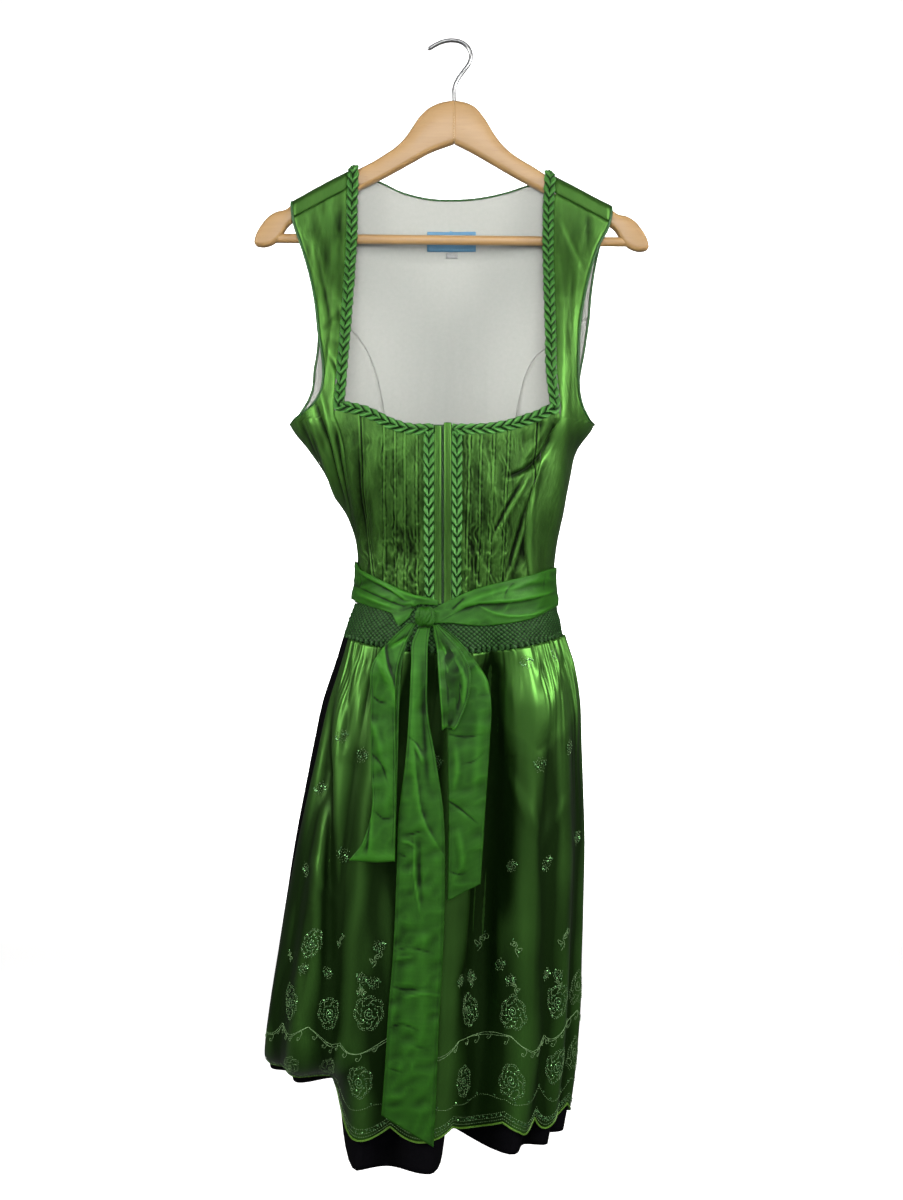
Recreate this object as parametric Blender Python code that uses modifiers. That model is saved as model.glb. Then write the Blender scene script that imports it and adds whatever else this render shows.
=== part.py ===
# Dirndl dress on a wooden coat hanger: every piece that a maker cuts and sews is its own
# closed body.  Units are metres, +Z up, the front faces -Y.  The origin is the underside of
# the hook's top bend, where a rod carries the hanger.  Tables are in millimetres; "drop" is
# the distance below the origin, measured down the cloth.
import math

import bmesh
import bpy
import numpy as np
from mathutils import Matrix, Vector

MM = 0.001

# ---- driving sizes ----
CLOTH = 1.2           # wall of the bodice, skirt and lining
LINING_AT = 1.8       # depth of the lining's outer face below the bodice's outer face
SEAM_GAP = 0.25       # each panel stops this short of its seam line
ROLL_RADIUS = 10.8    # the straps bend over the hanger with this outer radius
STRAP_DEPTH_RUN = 150.0
SHOULDER_SEAM_DROP = 22.0
ARM_THICKNESS = 14.4
ARM_TOP_CLEARANCE = 4.3
ARM_ROUNDING = 6.2
HANGER_CENTRE = 3.1
ARM_TOP_LEFT = [(-13, 69.3), (-24.4, 74.4), (-35.7, 84.5), (-46, 99.5), (-52.7, 109), (-61, 117.5),
                (-75.3, 127.5), (-91, 137)]
ARM_TOP_RIGHT = [(17, 69.3), (25, 73), (36.3, 85.4), (48.5, 105), (55.5, 114.5), (63.6, 122.8),
                 (79, 133.8), (93, 142)]
HOOK_WIRE = 4.0
BAR_DIAMETER = 10.6
BORE_CLEARANCE = 0.95
PIPING_RADIUS = 1.3
RUCHE_HALF_WIDTH = 6.3
RUCHE_PITCH = 11.0
RUCHE_RISE = 4.2
NECK_CORNER_REACH = (7.0, 3.0)   # how far the neck ruches run on under the strap ruches
WAIST_DROP = 634.0
APRON_OUT = 1.05      # gap between the skirt's outer face and the apron's inner face
APRON_CLOTH = 1.1
APRON_HEM = 1203.0
SKIRT_HEM = 1237.0
RIGHT_HEM_RISE = 14.0   # how much the skirt's hem hangs higher on the right
SCALLOP_RISE = 13.0
BAND_TOP = 634.6
BAND_HEM_FRONT = 687.0
BAND_HEM_RISE = 17.0
LEAN_FROM = 1102.0
LEAN_RADIUS = 50.0
LEAN_ANGLE = math.radians(66)
FOLD_COLUMNS = 6        # grid columns from ridge to ridge
BACK_FOLD_COLUMNS = 5

# ---- the body of the dress: half girths by height ----
# drop, left x, right x, depth in front, depth behind
GIRTH = [
    (140, -190, 190, 14, 14),
    (180, -190, 190, 22, 18),
    (230, -190, 190, 34, 26),
    (290, -188, 186, 52, 36),
    (350, -186, 178, 70, 45),
    (400, -184, 168, 84, 52),
    (436, -181, 160, 92, 56),
    (461, -162, 143, 95, 58),
    (495, -140, 134, 96, 60),
    (530, -121, 127, 94, 60),
    (562, -109, 119, 89, 60),
    (598, -106, 115, 85, 61),
    (634, -109, 115, 83, 62),
    (664, -120, 121, 87, 68),
    (700, -131, 133, 92, 76),
    (740, -144, 141, 95, 84),
    (800, -157, 144, 98, 92),
    (900, -177, 148, 100, 102),
    (1000, -193, 146, 101, 112),
    (1105, -208, 142, 101, 118),
    (1170, -215, 136, 101, 120),
    (1250, -219, 122, 100, 122),
]
# the line over the shoulders: x and drop of its inner end, and its slope
CREST_LEFT = (-114.8, 145.0, 0.535)
CREST_RIGHT = (113.5, 150.0, 0.528)

# skirt folds, in order round the girth from the left: degrees of the ridge at the waist and at
# the hem (0 is the front, + to the right), depth of the valley after it at the hip and at the
# hem, and how much deeper the skirt goes there than the apron
FOLDS = [
    (-90, -98, 5, 16, 8),
    (-66, -80, 4, 11, 8),
    (-50, -50, 7, 21, 10),
    (-30, -24, 5, 13, 8),
    (3, 8, 20, 38, 82),
    (38, 41, 3, 8, 8),
    (58, 60, 4, 12, 8),
    (79, 82, 6, 17, 8),
    (103, 104, 8, 20, 8),
    (127, 128, 9, 24, 6),
    (151, 152, 7, 21, 6),
    (174, 175, 9, 25, 6),
    (198, 199, 8, 24, 6),
    (222, 222, 7, 22, 6),
    (246, 242, 6, 20, 6),
]
SKIRT_ROWS = [634.1, 663, 692, 745, 820, 960, 1108, 1135, 1162, 1203, 1237]
APRON_FIRST_FOLD = 1    # the apron's left edge lies on this ridge
APRON_LAST_FOLD = 8     # and its right edge on this one

# ---- seam lines, x and drop ----
# inner edge of the ruche that lines the neck opening, left and right
NECK_SIDE_LEFT = [(-104, 150), (-105, 182), (-105, 230), (-107, 290), (-109.5, 338), (-113, 390),
                  (-114.5, 416)]
NECK_SIDE_RIGHT = [(105, 152), (102.6, 182), (101.2, 230), (100.7, 290), (101.5, 340),
                   (102, 390), (105, 418)]
NECK_FRONT_LEFT = [(-114.5, 416), (-100, 419.5), (-81, 427), (-67, 434.5), (-53, 440.5),
                   (-39, 442.7), (-12, 443)]
NECK_FRONT_RIGHT = [(105, 418), (95, 425), (76, 432.6), (57.4, 438.8), (39, 441.8),
                    (24.8, 442.8), (-7, 443)]
PRINCESS_LEFT = [(-126.5, 432), (-118, 458), (-113, 500), (-107.5, 542), (-101, 586), (-94, 634)]
PRINCESS_RIGHT = [(116, 435), (103, 460), (93, 491), (82, 529), (79, 561), (82, 593), (88, 634)]
ARMHOLE_FRONT_LEFT = [(-178.2, 200), (-168, 230), (-158, 262), (-149.6, 299), (-144.5, 338),
                      (-140, 364), (-138.3, 388), (-142, 406), (-151, 419), (-164, 428),
                      (-181.5, 434)]
ARMHOLE_FRONT_RIGHT = [(178.2, 204), (163, 234), (154, 261), (146, 293), (140, 329),
                       (138.2, 363), (138.4, 394), (141, 413), (147, 426), (153, 432.5),
                       (160.5, 436)]
ARMHOLE_BACK_LEFT = [(-174.5, 202), (-165, 224), (-157, 254), (-151.5, 287), (-150, 306)]
ARMHOLE_BACK_RIGHT = [(175, 202), (166, 231), (161, 257), (157.5, 288), (156.5, 307)]
UNDERARM_BACK_LEFT = [(-150.5, 310), (-153.5, 348), (-157, 368), (-158.5, 386), (-164, 402),
                      (-172, 416), (-181.5, 434)]
UNDERARM_BACK_RIGHT = [(156, 311), (151.5, 344), (146.5, 373), (144.8, 391), (147.7, 408),
                       (153, 421), (160.5, 436)]
BACK_PRINCESS_LEFT = [(-150, 306), (-128, 313), (-112, 323), (-103, 334), (-91, 359), (-84, 383),
                      (-79, 408), (-75, 434)]
BACK_PRINCESS_RIGHT = [(156.5, 307), (131, 320), (109, 339.5), (97, 350), (87.6, 366),
                       (80.5, 390), (76, 412), (73, 434)]
BACK_PRINCESS_WAIST = 64.0
NECK_BACK = [(-112.5, 155), (-99, 153), (-85, 156), (-58, 168), (-28, 175), (2.7, 176.4),
             (28, 175.2), (64, 168.5), (88, 161), (101, 158), (113, 160.5)]
# the strap over the shoulder, from its seam in front to the yoke line behind: degrees round
# the roll (- is in front), x of its armhole side and of its neck side, both as half widths
STRAP_OVER = [(-90, 178.2, 118.6), (-60, 178.8, 118.6), (-30, 179, 118.4), (0, 179, 117.6),
              (30, 178.6, 115.4), (60, 178, 113.6), (90, 177.4, 112.8)]
BACK_YOKE_DROP = 202.0
BACK_ARMHOLE_ROWS = 6
NECK_COLUMNS = 9
LOW_DROPS = [434, 460, 490, 522, 556, 594, 633.5]

# ---- front closing, x of each strip ----
RUCHE_LEFT_X = -24.0
RUCHE_RIGHT_X = 5.7
FRONT_RUCHE_HALF_WIDTH = 5.2
WELT_LEFT = (-18.3, -10.6)
WELT_RIGHT = (-8.2, 0.0)
CLOSING_TOP = 457.0
CORD_POSITIONS_LEFT = (0.22, 0.42, 0.60, 0.80)
CORD_POSITIONS_RIGHT = (0.20, 0.42, 0.60, 0.80)
CORD_RISE = 1.1

# ---- colours ----
SATIN = (0.055, 0.17, 0.022, 1)
TAFFETA = (0.035, 0.17, 0.03, 1)
OFF_WHITE = (0.72, 0.72, 0.66, 1)
BEECH = (0.78, 0.5, 0.25, 1)


# ================= curves and surfaces =================
def track(rows, column, at):
    """Smooth value of one column of a table whose first column rises."""
    knots = np.array([row[0] for row in rows], float)
    values = np.array([row[column] for row in rows], float)
    slopes = np.gradient(values, knots)
    at = np.clip(np.asarray(at, float), knots[0], knots[-1])
    i = np.clip(np.searchsorted(knots, at, side="right") - 1, 0, len(knots) - 2)
    span = knots[i + 1] - knots[i]
    f = (at - knots[i]) / span
    return ((2 * f**3 - 3 * f**2 + 1) * values[i] + (f**3 - 2 * f**2 + f) * span * slopes[i]
            + (3 * f**2 - 2 * f**3) * values[i + 1] + (f**3 - f**2) * span * slopes[i + 1])


def smooth_line(points, count=None, at=None):
    """Points along a smooth curve through hand-set points, evenly spaced or at given shares."""
    points = np.array(points, float)
    reach = np.concatenate([[0], np.cumsum(np.linalg.norm(np.diff(points, axis=0), axis=1))])
    shares = np.linspace(0, 1, count) if at is None else np.asarray(at, float)
    rows = [(reach[k], *points[k]) for k in range(len(points))]
    return np.stack([track(rows, k + 1, shares * reach[-1]) for k in range(points.shape[1])], -1)


def smooth_step(share):
    share = np.clip(share, 0, 1)
    return share * share * (3 - 2 * share)


def crest(x):
    left = CREST_LEFT[1] + (CREST_LEFT[0] - x) * CREST_LEFT[2]
    right = CREST_RIGHT[1] + (x - CREST_RIGHT[0]) * CREST_RIGHT[2]
    return np.where(x < 0, left, right)


def girth_at(drop):
    left, right, front, back = [track(GIRTH, k, drop) for k in (1, 2, 3, 4)]
    return (left + right) / 2, (right - left) / 2, front, back


def angle_of(x, drop, front=True):
    """Angle round the body of a point given by its x; 0 is the front, pi the back."""
    centre, half, _, _ = girth_at(drop)
    angle = np.arcsin(np.clip((x - centre) / half, -1, 1))
    return angle if front else np.pi - angle


def fold_ridges(drop):
    """Degrees of every fold's ridge at a drop, and of the first one a full turn on."""
    low = smooth_step((np.asarray(drop, float)[..., None] - WAIST_DROP) / (SKIRT_HEM - WAIST_DROP))
    waist, hem = [np.array([fold[k] for fold in FOLDS], float) for k in (0, 1)]
    ridges = waist * (1 - low) + hem * low
    return np.concatenate([ridges, ridges[..., :1] + 360], -1)


def fold_inset(angle, drop, skirt_share):
    """How far the cloth lies inside its ridges: a cosine dip between each two ridges."""
    ridges = fold_ridges(drop)
    turn = np.degrees(angle)
    turn = (turn - ridges[..., 0] + 1e-6) % 360 + ridges[..., 0] - 1e-6
    i = np.clip((turn[..., None] >= ridges).sum(axis=-1) - 1, 0, len(FOLDS) - 1)
    start, end = [np.take_along_axis(ridges, (i + k)[..., None], -1)[..., 0] for k in (0, 1)]
    share = (turn - start) / (end - start)
    hip, hem, more = [np.array([fold[k] for fold in FOLDS], float)[i] for k in (2, 3, 4)]
    depth = hip + (hem - hip) * smooth_step((drop - 780) / 440)
    depth = depth * smooth_step((drop - 642) / 100)
    late = smooth_step((drop - 800) / 400) * skirt_share
    return (depth + more * late) * (1 - np.cos(2 * np.pi * share)) / 2


def lean_share(angle):
    """The lower left of the skirt leans back: 1 there, 0 in front and on the right."""
    turn = -np.degrees(angle) % 360
    return smooth_step((turn - 18) / 15) * (1 - smooth_step((turn - 155) / 45))


def body(angle, drop, skirt_share=0.0):
    """A point of the dress's outer face, in millimetres."""
    angle, drop = np.broadcast_arrays(np.asarray(angle, float), np.asarray(drop, float))
    centre, half, front, back = girth_at(drop)
    across, ahead = np.sin(angle), np.cos(angle)
    x = centre + half * across
    below_crest = np.maximum(drop - crest(x), 0)
    side = np.where(ahead >= 0, 1.0, -1.0)
    depth = np.where(ahead >= 0, front, back)
    round_depth = depth * np.abs(ahead) * (1 + 0.15 * across**2)
    inside = np.clip(ROLL_RADIUS - below_crest, 0, ROLL_RADIUS)
    roll_depth = np.sqrt(ROLL_RADIUS**2 - inside**2) * np.minimum(1, np.abs(ahead) * 4)
    blend = smooth_step(below_crest / STRAP_DEPTH_RUN)
    y = -side * (roll_depth * (1 - blend) + round_depth * blend)
    z = -drop
    inset = fold_inset(angle, drop, skirt_share)
    way_x, way_y = across / half, -ahead / np.maximum(depth, 1)
    length = np.hypot(way_x, way_y)
    x, y = x - inset * way_x / length, y - inset * way_y / length
    lean = LEAN_ANGLE * lean_share(angle)
    past = np.maximum(drop - LEAN_FROM, 0)
    bend = np.minimum(past / LEAN_RADIUS, lean)
    straight = past - bend * LEAN_RADIUS
    y = y + LEAN_RADIUS * (1 - np.cos(bend)) + straight * np.sin(bend)
    z = z + past - LEAN_RADIUS * np.sin(bend) - straight * np.cos(bend)
    return np.stack([x, y, z], -1)


def outward(angle, drop, skirt_share=0.0):
    """The outward unit normal of that face."""
    angle, drop = np.broadcast_arrays(np.asarray(angle, float), np.asarray(drop, float))
    turn_step, drop_step = 0.004, 1.0
    round_way = (body(angle + turn_step, drop, skirt_share)
                 - body(angle - turn_step, drop, skirt_share))
    down_way = (body(angle, drop + drop_step, skirt_share)
                - body(angle, drop - drop_step, skirt_share))
    normal = np.cross(down_way, round_way)
    centre, half, _, _ = girth_at(drop)
    x = centre + half * np.sin(angle)
    below_crest = drop - crest(x)
    side = np.where(np.cos(angle) >= 0, 1.0, -1.0)
    slope = np.where(x < 0, -CREST_LEFT[2], CREST_RIGHT[2])
    roll = np.arccos(np.clip(1 - below_crest / ROLL_RADIUS, -1, 1))
    over = np.stack([slope * np.cos(roll), -side * np.sin(roll), np.cos(roll)], -1)
    near_crest = (below_crest < ROLL_RADIUS + 1)[..., None]
    normal = np.where(near_crest, over, normal)
    return normal / np.linalg.norm(normal, axis=-1, keepdims=True)


# ================= mesh makers =================
parts = bpy.data.collections.new("dirndl_dress_on_hanger")


def finish(name, colour, roughness=0.5, metallic=0.0):
    material = bpy.data.materials.new(name)
    material.use_nodes = True
    shader = material.node_tree.nodes["Principled BSDF"]
    shader.inputs["Base Color"].default_value = colour
    shader.inputs["Roughness"].default_value = roughness
    shader.inputs["Metallic"].default_value = metallic
    material.diffuse_color = colour
    return material


def add_mesh(name, points, faces, material, smooth_angle=50):
    """A mesh object in the parts collection, from millimetre points, its faces turned out."""
    mesh = bpy.data.meshes.new(name)
    mesh.from_pydata((np.asarray(points) * MM).tolist(), [], [list(map(int, f)) for f in faces])
    work = bmesh.new()
    work.from_mesh(mesh)
    bmesh.ops.recalc_face_normals(work, faces=work.faces)
    work.to_mesh(mesh)
    work.free()
    mesh.shade_smooth()
    mesh.set_sharp_from_angle(angle=math.radians(smooth_angle))
    mesh.materials.append(material)
    item = bpy.data.objects.new(name, mesh)
    parts.objects.link(item)
    return item


def grid_faces(rows, columns):
    """Two triangles a cell, all cut the same way, so that layers on one grid never cross."""
    corner = np.arange(rows * columns).reshape(rows, columns)
    a, b = corner[:-1, :-1].ravel(), corner[1:, :-1].ravel()
    c, d = corner[1:, 1:].ravel(), corner[:-1, 1:].ravel()
    return np.concatenate([np.stack([a, b, c], -1), np.stack([a, c, d], -1)])


def join_blocks(blocks):
    """Grids that share edge points, as one list of points, values and cells.

    A block is (points, normals, outer, inner), each of them rows by columns."""
    points, normals, outer, inner, cells = [], [], [], [], []
    known = {}
    for block in blocks:
        rows, columns = block[0].shape[:2]
        index = []
        for place, normal, out, back in zip(block[0].reshape(-1, 3), block[1].reshape(-1, 3),
                                            block[2].ravel(), block[3].ravel()):
            key = tuple(np.round(place, 3))
            if key not in known:
                known[key] = len(points)
                points.append(place)
                normals.append(normal)
                outer.append(out)
                inner.append(back)
            index.append(known[key])
        cells += [[index[k] for k in cell] for cell in grid_faces(rows, columns)]
    cells = [list(dict.fromkeys(cell)) for cell in cells]
    cells = [cell for cell in cells if len(cell) > 2]
    return np.array(points), np.array(normals), np.array(outer), np.array(inner), cells


def sew_wall(name, blocks, material, gap=SEAM_GAP):
    """A wall of cloth: an outer and an inner face on the same grid, joined along the rim.

    The rim is drawn in by the seam gap, so that neighbours stay apart."""
    points, normals, outer, inner, cells = join_blocks(blocks)
    used = {}
    for cell in cells:
        for a, b in zip(cell, cell[1:] + cell[:1]):
            used[(a, b)] = used.get((a, b), 0) + 1
    rim = [edge for edge in used if (edge[1], edge[0]) not in used]
    shift = np.zeros_like(points)
    for a, b in rim:
        inward = np.cross(normals[a] + normals[b], points[b] - points[a])
        inward = inward / max(np.linalg.norm(inward), 1e-9)
        shift[a] += inward
        shift[b] += inward
    length = np.linalg.norm(shift, axis=1, keepdims=True)
    shift = np.where(length > 1e-6, shift / np.maximum(length, 1e-6), 0)
    # the first cell tells on which side of a rim edge the cloth lies
    middle = points[cells[0]].mean(axis=0)
    turn = np.cross(points[cells[0][1]] - points[cells[0][0]],
                    points[cells[0][2]] - points[cells[0][1]])
    sign = 1.0 if np.dot(turn, normals[cells[0][0]]) > 0 else -1.0
    points = points + shift * gap * sign
    count = len(points)
    shell = np.concatenate([points + normals * outer[:, None], points + normals * inner[:, None]])
    faces = [list(cell) for cell in cells] + [[k + count for k in reversed(q)] for q in cells]
    faces += [[b, a, a + count, b + count] for a, b in rim]
    return add_mesh(name, shell, faces, material)


def cloth_block(angle, drop, outer=0.0, inner=-CLOTH, skirt_share=0.0):
    """A grid of the body's face with the wall's two offsets along its normal."""
    angle, drop = np.broadcast_arrays(angle, drop)
    points = body(angle, drop, skirt_share)
    normals = outward(angle, drop, skirt_share)
    outer = np.broadcast_to(outer, angle.shape).astype(float)
    inner = np.broadcast_to(inner, angle.shape).astype(float)
    return points, normals, outer, inner


def between(left, right, columns, front=True, straight=0.0):
    """Angles and drops of a grid whose rows join two edge lines of x and drop.

    A row is spaced evenly round the body, or evenly along x where straight is 1."""
    share = np.linspace(0, 1, columns)[None, :]
    x, drop = [left[:, k][:, None] * (1 - share) + right[:, k][:, None] * share for k in (0, 1)]
    left_angle = angle_of(left[:, 0], left[:, 1], front)[:, None]
    right_angle = angle_of(right[:, 0], right[:, 1], front)[:, None]
    angle = left_angle * (1 - share) + right_angle * share
    straight = np.broadcast_to(straight, len(left))[:, None]
    return angle * (1 - straight) + angle_of(x, drop, front) * straight, drop


def swept(name, centre, side, up, profile, material, closed=False, smooth_angle=50):
    """A closed section carried along a line; the profile is (across, up) for each station."""
    centre, side, up = np.asarray(centre), np.asarray(side), np.asarray(up)
    profile = np.asarray(profile, float)
    if profile.ndim == 2:
        profile = np.broadcast_to(profile, (len(centre), *profile.shape))
    rings = (centre[:, None] + side[:, None] * profile[..., :1] + up[:, None] * profile[..., 1:])
    stations, corners = rings.shape[:2]
    index = np.arange(stations * corners).reshape(stations, corners)
    faces = []
    for k in range(stations if closed else stations - 1):
        here, there = index[k], index[(k + 1) % stations]
        faces += [[here[c], here[(c + 1) % corners], there[(c + 1) % corners], there[c]]
                  for c in range(corners)]
    if not closed:
        faces += [list(index[0][::-1]), list(index[-1])]
    return add_mesh(name, rings.reshape(-1, 3), faces, material, smooth_angle)


def along_body(line, front, offset):
    """Places, side ways and normals along a line of x and drop on the body's face."""
    angle = angle_of(line[:, 0], line[:, 1], front)
    normal = outward(angle, line[:, 1])
    place = body(angle, line[:, 1]) + normal * offset
    ahead = np.gradient(place, axis=0)
    side = np.cross(ahead, normal)
    side = side / np.linalg.norm(side, axis=-1, keepdims=True)
    return place, side, normal


def moved_aside(line, distance):
    """A line of x and drop moved sideways, + to the left of its run seen from the front."""
    ahead = np.gradient(line, axis=0)
    ahead = ahead / np.linalg.norm(ahead, axis=-1, keepdims=True)
    return line + np.stack([ahead[:, 1], -ahead[:, 0]], -1) * distance


# ================= the hanger =================
def hanger_outline(side):
    """One arm's outline, x and drop: the top, the rounded tip and the straight underside."""
    tip_drop = 5.0 if side > 0 else 0.0
    under_strap = [(x * side, crest(np.array(float(x * side))) + ARM_TOP_CLEARANCE)
                   for x in (104, 130, 156, 180)]
    tip = [(188, 190), (197, 192), (206, 197), (214, 206), (220.5, 217), (223, 225),
           (221, 230), (214, 232), (204, 230), (196, 225)]
    under = [(184, 208), (150, 190), (103, 167), (75, 153), (45, 136.5), (24, 125)]
    points = [(HANGER_CENTRE + 0.15 * side, 66.4)]
    points += ARM_TOP_RIGHT if side > 0 else ARM_TOP_LEFT
    points += [(x, float(drop)) for x, drop in under_strap]
    points += [(x * side, drop + tip_drop) for x, drop in tip]
    points += [(x * side, drop + tip_drop * x / 184) for x, drop in under]
    points += [(HANGER_CENTRE + 0.15 * side, 115.0)]
    return points


def cylinder_along(name, start, end, radius, sides):
    """A closed cylinder between two points, as a bmesh primitive turned into place."""
    start, end = Vector(start), Vector(end)
    work = bmesh.new()
    bmesh.ops.create_cone(work, cap_ends=True, segments=sides, radius1=radius * MM,
                          radius2=radius * MM, depth=(end - start).length * MM)
    turn = (end - start).to_track_quat("Z", "Y").to_matrix().to_4x4()
    bmesh.ops.transform(work, matrix=Matrix.Translation((start + end) / 2 * MM) @ turn,
                        verts=work.verts)
    mesh = bpy.data.meshes.new(name)
    work.to_mesh(mesh)
    work.free()
    mesh.shade_smooth()
    mesh.set_sharp_from_angle(angle=math.radians(40))
    return bpy.data.objects.new(name, mesh)


def make_hanger():
    beech = finish("beech", BEECH, 0.35)
    chrome = finish("chrome", (0.75, 0.76, 0.78, 1), 0.12, 1.0)
    cutters = bpy.data.collections.new("cutters")
    bpy.context.scene.collection.children.link(cutters)
    bar_ends = ((-214, 0, -221.5), (214, 0, -226.0))
    bores = [
        cylinder_along("hook_bore", (HANGER_CENTRE, 0, -50), (HANGER_CENTRE, 0, -84),
                       (HOOK_WIRE + BORE_CLEARANCE) / 2, 12),
        cylinder_along("bar_bore", bar_ends[0], bar_ends[1],
                       (BAR_DIAMETER + BORE_CLEARANCE) / 2, 16),
    ]
    for bore in bores:
        bore.hide_render = True
        bore.display_type = "WIRE"
        cutters.objects.link(bore)
    for label, side in (("left", -1), ("right", 1)):
        outline = hanger_outline(side)
        half = ARM_THICKNESS / 2
        points = [(x, -half, -drop) for x, drop in outline] + [(x, half, -drop) for x, drop in outline]
        count = len(outline)
        faces = [list(range(count)), list(range(count, 2 * count))]
        faces += [[k, (k + 1) % count, (k + 1) % count + count, k + count] for k in range(count)]
        arm = add_mesh(f"hanger_arm_{label}", points, faces, beech)
        rounding = arm.modifiers.new("rounded_edges", "BEVEL")
        rounding.width = ARM_ROUNDING * MM
        rounding.segments = 2
        rounding.limit_method = "ANGLE"
        rounding.angle_limit = math.radians(70)
        rounding.use_clamp_overlap = False
        for bore in bores:
            cut = arm.modifiers.new(bore.name, "BOOLEAN")
            cut.operation = "DIFFERENCE"
            cut.object = bore
    inset = np.array([0.6, 0, 0])
    bar = cylinder_along("hanger_bar", np.array(bar_ends[0]) + inset, np.array(bar_ends[1]) - inset,
                         BAR_DIAMETER / 2, 14)
    bar.data.materials.append(beech)
    parts.objects.link(bar)
    hook_line = [(3.1, -83), (3.1, -66), (3.1, -52), (6.2, -43.5), (13.5, -33), (20, -23.5),
                 (22, -15), (18.6, -6), (10.5, 0.2), (0, HOOK_WIRE / 2), (-10, 0.4), (-19, -3.6),
                 (-27, -8.6)]
    hook_points = smooth_line(hook_line, 22)
    curve = bpy.data.curves.new("hanger_hook", "CURVE")
    curve.dimensions = "3D"
    curve.bevel_depth = HOOK_WIRE / 2 * MM
    curve.bevel_resolution = 2
    curve.use_fill_caps = True
    spline = curve.splines.new("POLY")
    spline.points.add(len(hook_points) - 1)
    for point, (x, z) in zip(spline.points, hook_points):
        point.co = (x * MM, 0, z * MM, 1)
    curve.materials.append(chrome)
    hook = bpy.data.objects.new("hanger_hook", curve)
    parts.objects.link(hook)


# ================= the bodice =================
def front_side_edges(side):
    """Edge lines of a side front with its strap: the neck and princess side, the armhole side."""
    neck = NECK_SIDE_LEFT if side < 0 else NECK_SIDE_RIGHT
    princess = PRINCESS_LEFT if side < 0 else PRINCESS_RIGHT
    armhole = ARMHOLE_FRONT_LEFT if side < 0 else ARMHOLE_FRONT_RIGHT
    clear = 2 * RUCHE_HALF_WIDTH + 0.8
    strap = smooth_line([(x + side * clear, drop) for x, drop in neck], 60)
    top_x = strap[0, 0] + side * 0.5
    strap = strap[strap[:, 1] > crest(np.array(top_x)) + SHOULDER_SEAM_DROP + 4]
    strap = np.concatenate([[(top_x, float(crest(np.array(top_x))) + SHOULDER_SEAM_DROP)], strap,
                            [princess[0]]])
    upper_inner = smooth_line(strap, 12)
    seam_end = (armhole[0][0], float(crest(np.array(armhole[0][0]))) + SHOULDER_SEAM_DROP)
    upper_outer = smooth_line([seam_end] + armhole[1:], 12)
    low = np.array(LOW_DROPS, float)
    low_inner = princess_line(princess)
    centre, half, _, _ = girth_at(low)
    low_outer = np.stack([centre + side * half, low], -1)
    inner = np.concatenate([upper_inner[:-1], low_inner])
    outer = np.concatenate([upper_outer[:-1], low_outer])
    return inner, outer


def princess_line(princess):
    """The princess seam at the shared drops of the lower bodice."""
    table = [(drop, x) for x, drop in princess]
    low = np.array(LOW_DROPS, float)
    return np.stack([track(table, 1, low), low], -1)


def make_front_sides(satin):
    for label, side in (("left", -1), ("right", 1)):
        inner, outer = front_side_edges(side)
        straight = np.clip(1 - np.arange(len(inner)) / 11, 0, 1)
        angle, drop = between(inner, outer, 7, straight=straight)
        sew_wall(f"front_side_{label}", [cloth_block(angle, drop)], satin)


def make_front_panels(satin):
    """The centre fronts: cords raised on the outer face over a plain inside."""
    low = np.array(LOW_DROPS, float)
    shares = (low - low[0]) / (low[-1] - low[0])
    for label, side, cords in (("left", -1, CORD_POSITIONS_LEFT), ("right", 1, CORD_POSITIONS_RIGHT)):
        princess = PRINCESS_LEFT if side < 0 else PRINCESS_RIGHT
        neck = NECK_FRONT_LEFT if side < 0 else NECK_FRONT_RIGHT
        ruche_x = RUCHE_LEFT_X if side < 0 else RUCHE_RIGHT_X
        edge_x = ruche_x + side * (FRONT_RUCHE_HALF_WIDTH + 0.5)
        outside = princess_line(princess)
        stops = [0.0]
        lifts = [0.0]
        for cord in cords:
            stops += [cord - 0.035, cord, cord + 0.035, cord + 0.10]
            lifts += [0.0, CORD_RISE, 0.0, 0.45]
        stops[-1], lifts[-1] = 1.0, 0.0
        stops, lifts = np.array(stops), np.array(lifts)
        neck_table = sorted((x, drop) for x, drop in neck)
        top_x = outside[0, 0] * (1 - stops) + edge_x * stops
        slope = (track(neck_table, 1, top_x + 1) - track(neck_table, 1, top_x - 1)) / 2
        below = (2 * RUCHE_HALF_WIDTH + 0.5) * np.sqrt(1 + slope**2)
        lowered = track(neck_table, 1, top_x) + below
        top_drop = np.where(stops < 1e-6, low[0], np.maximum(lowered, low[0]))
        drop = top_drop[None, :] * (1 - shares[:, None]) + low[-1] * shares[:, None]
        edge_angle = angle_of(np.full_like(low, edge_x), drop[:, -1])
        side_angle = angle_of(outside[:, 0], outside[:, 1])
        angle = side_angle[:, None] * (1 - stops) + edge_angle[:, None] * stops
        fade = np.ones(len(low))
        fade[0] = 0.3
        lift = lifts[None, :] * fade[:, None]
        sew_wall(f"front_panel_{label}", [cloth_block(angle, drop, outer=lift)], satin)


def back_rows():
    """The shared rows of the back: its edge lines left and right, from the yoke to the waist."""
    edges = []
    for armhole, princess, side in ((ARMHOLE_BACK_LEFT, BACK_PRINCESS_LEFT, -1),
                                    (ARMHOLE_BACK_RIGHT, BACK_PRINCESS_RIGHT, 1)):
        centre_x = armhole[0][0]
        upper = smooth_line(armhole, 5)
        upper[0] = (centre_x, BACK_YOKE_DROP)
        middle = smooth_line(princess, BACK_ARMHOLE_ROWS)
        low = np.array(LOW_DROPS[1:], float)
        reach = (low - LOW_DROPS[0]) / (LOW_DROPS[-1] - LOW_DROPS[0])
        start = middle[-1, 0]
        lower = np.stack([start + (side * BACK_PRINCESS_WAIST - start) * smooth_step(reach), low], -1)
        edges.append((upper, middle, lower))
    return edges


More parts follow.
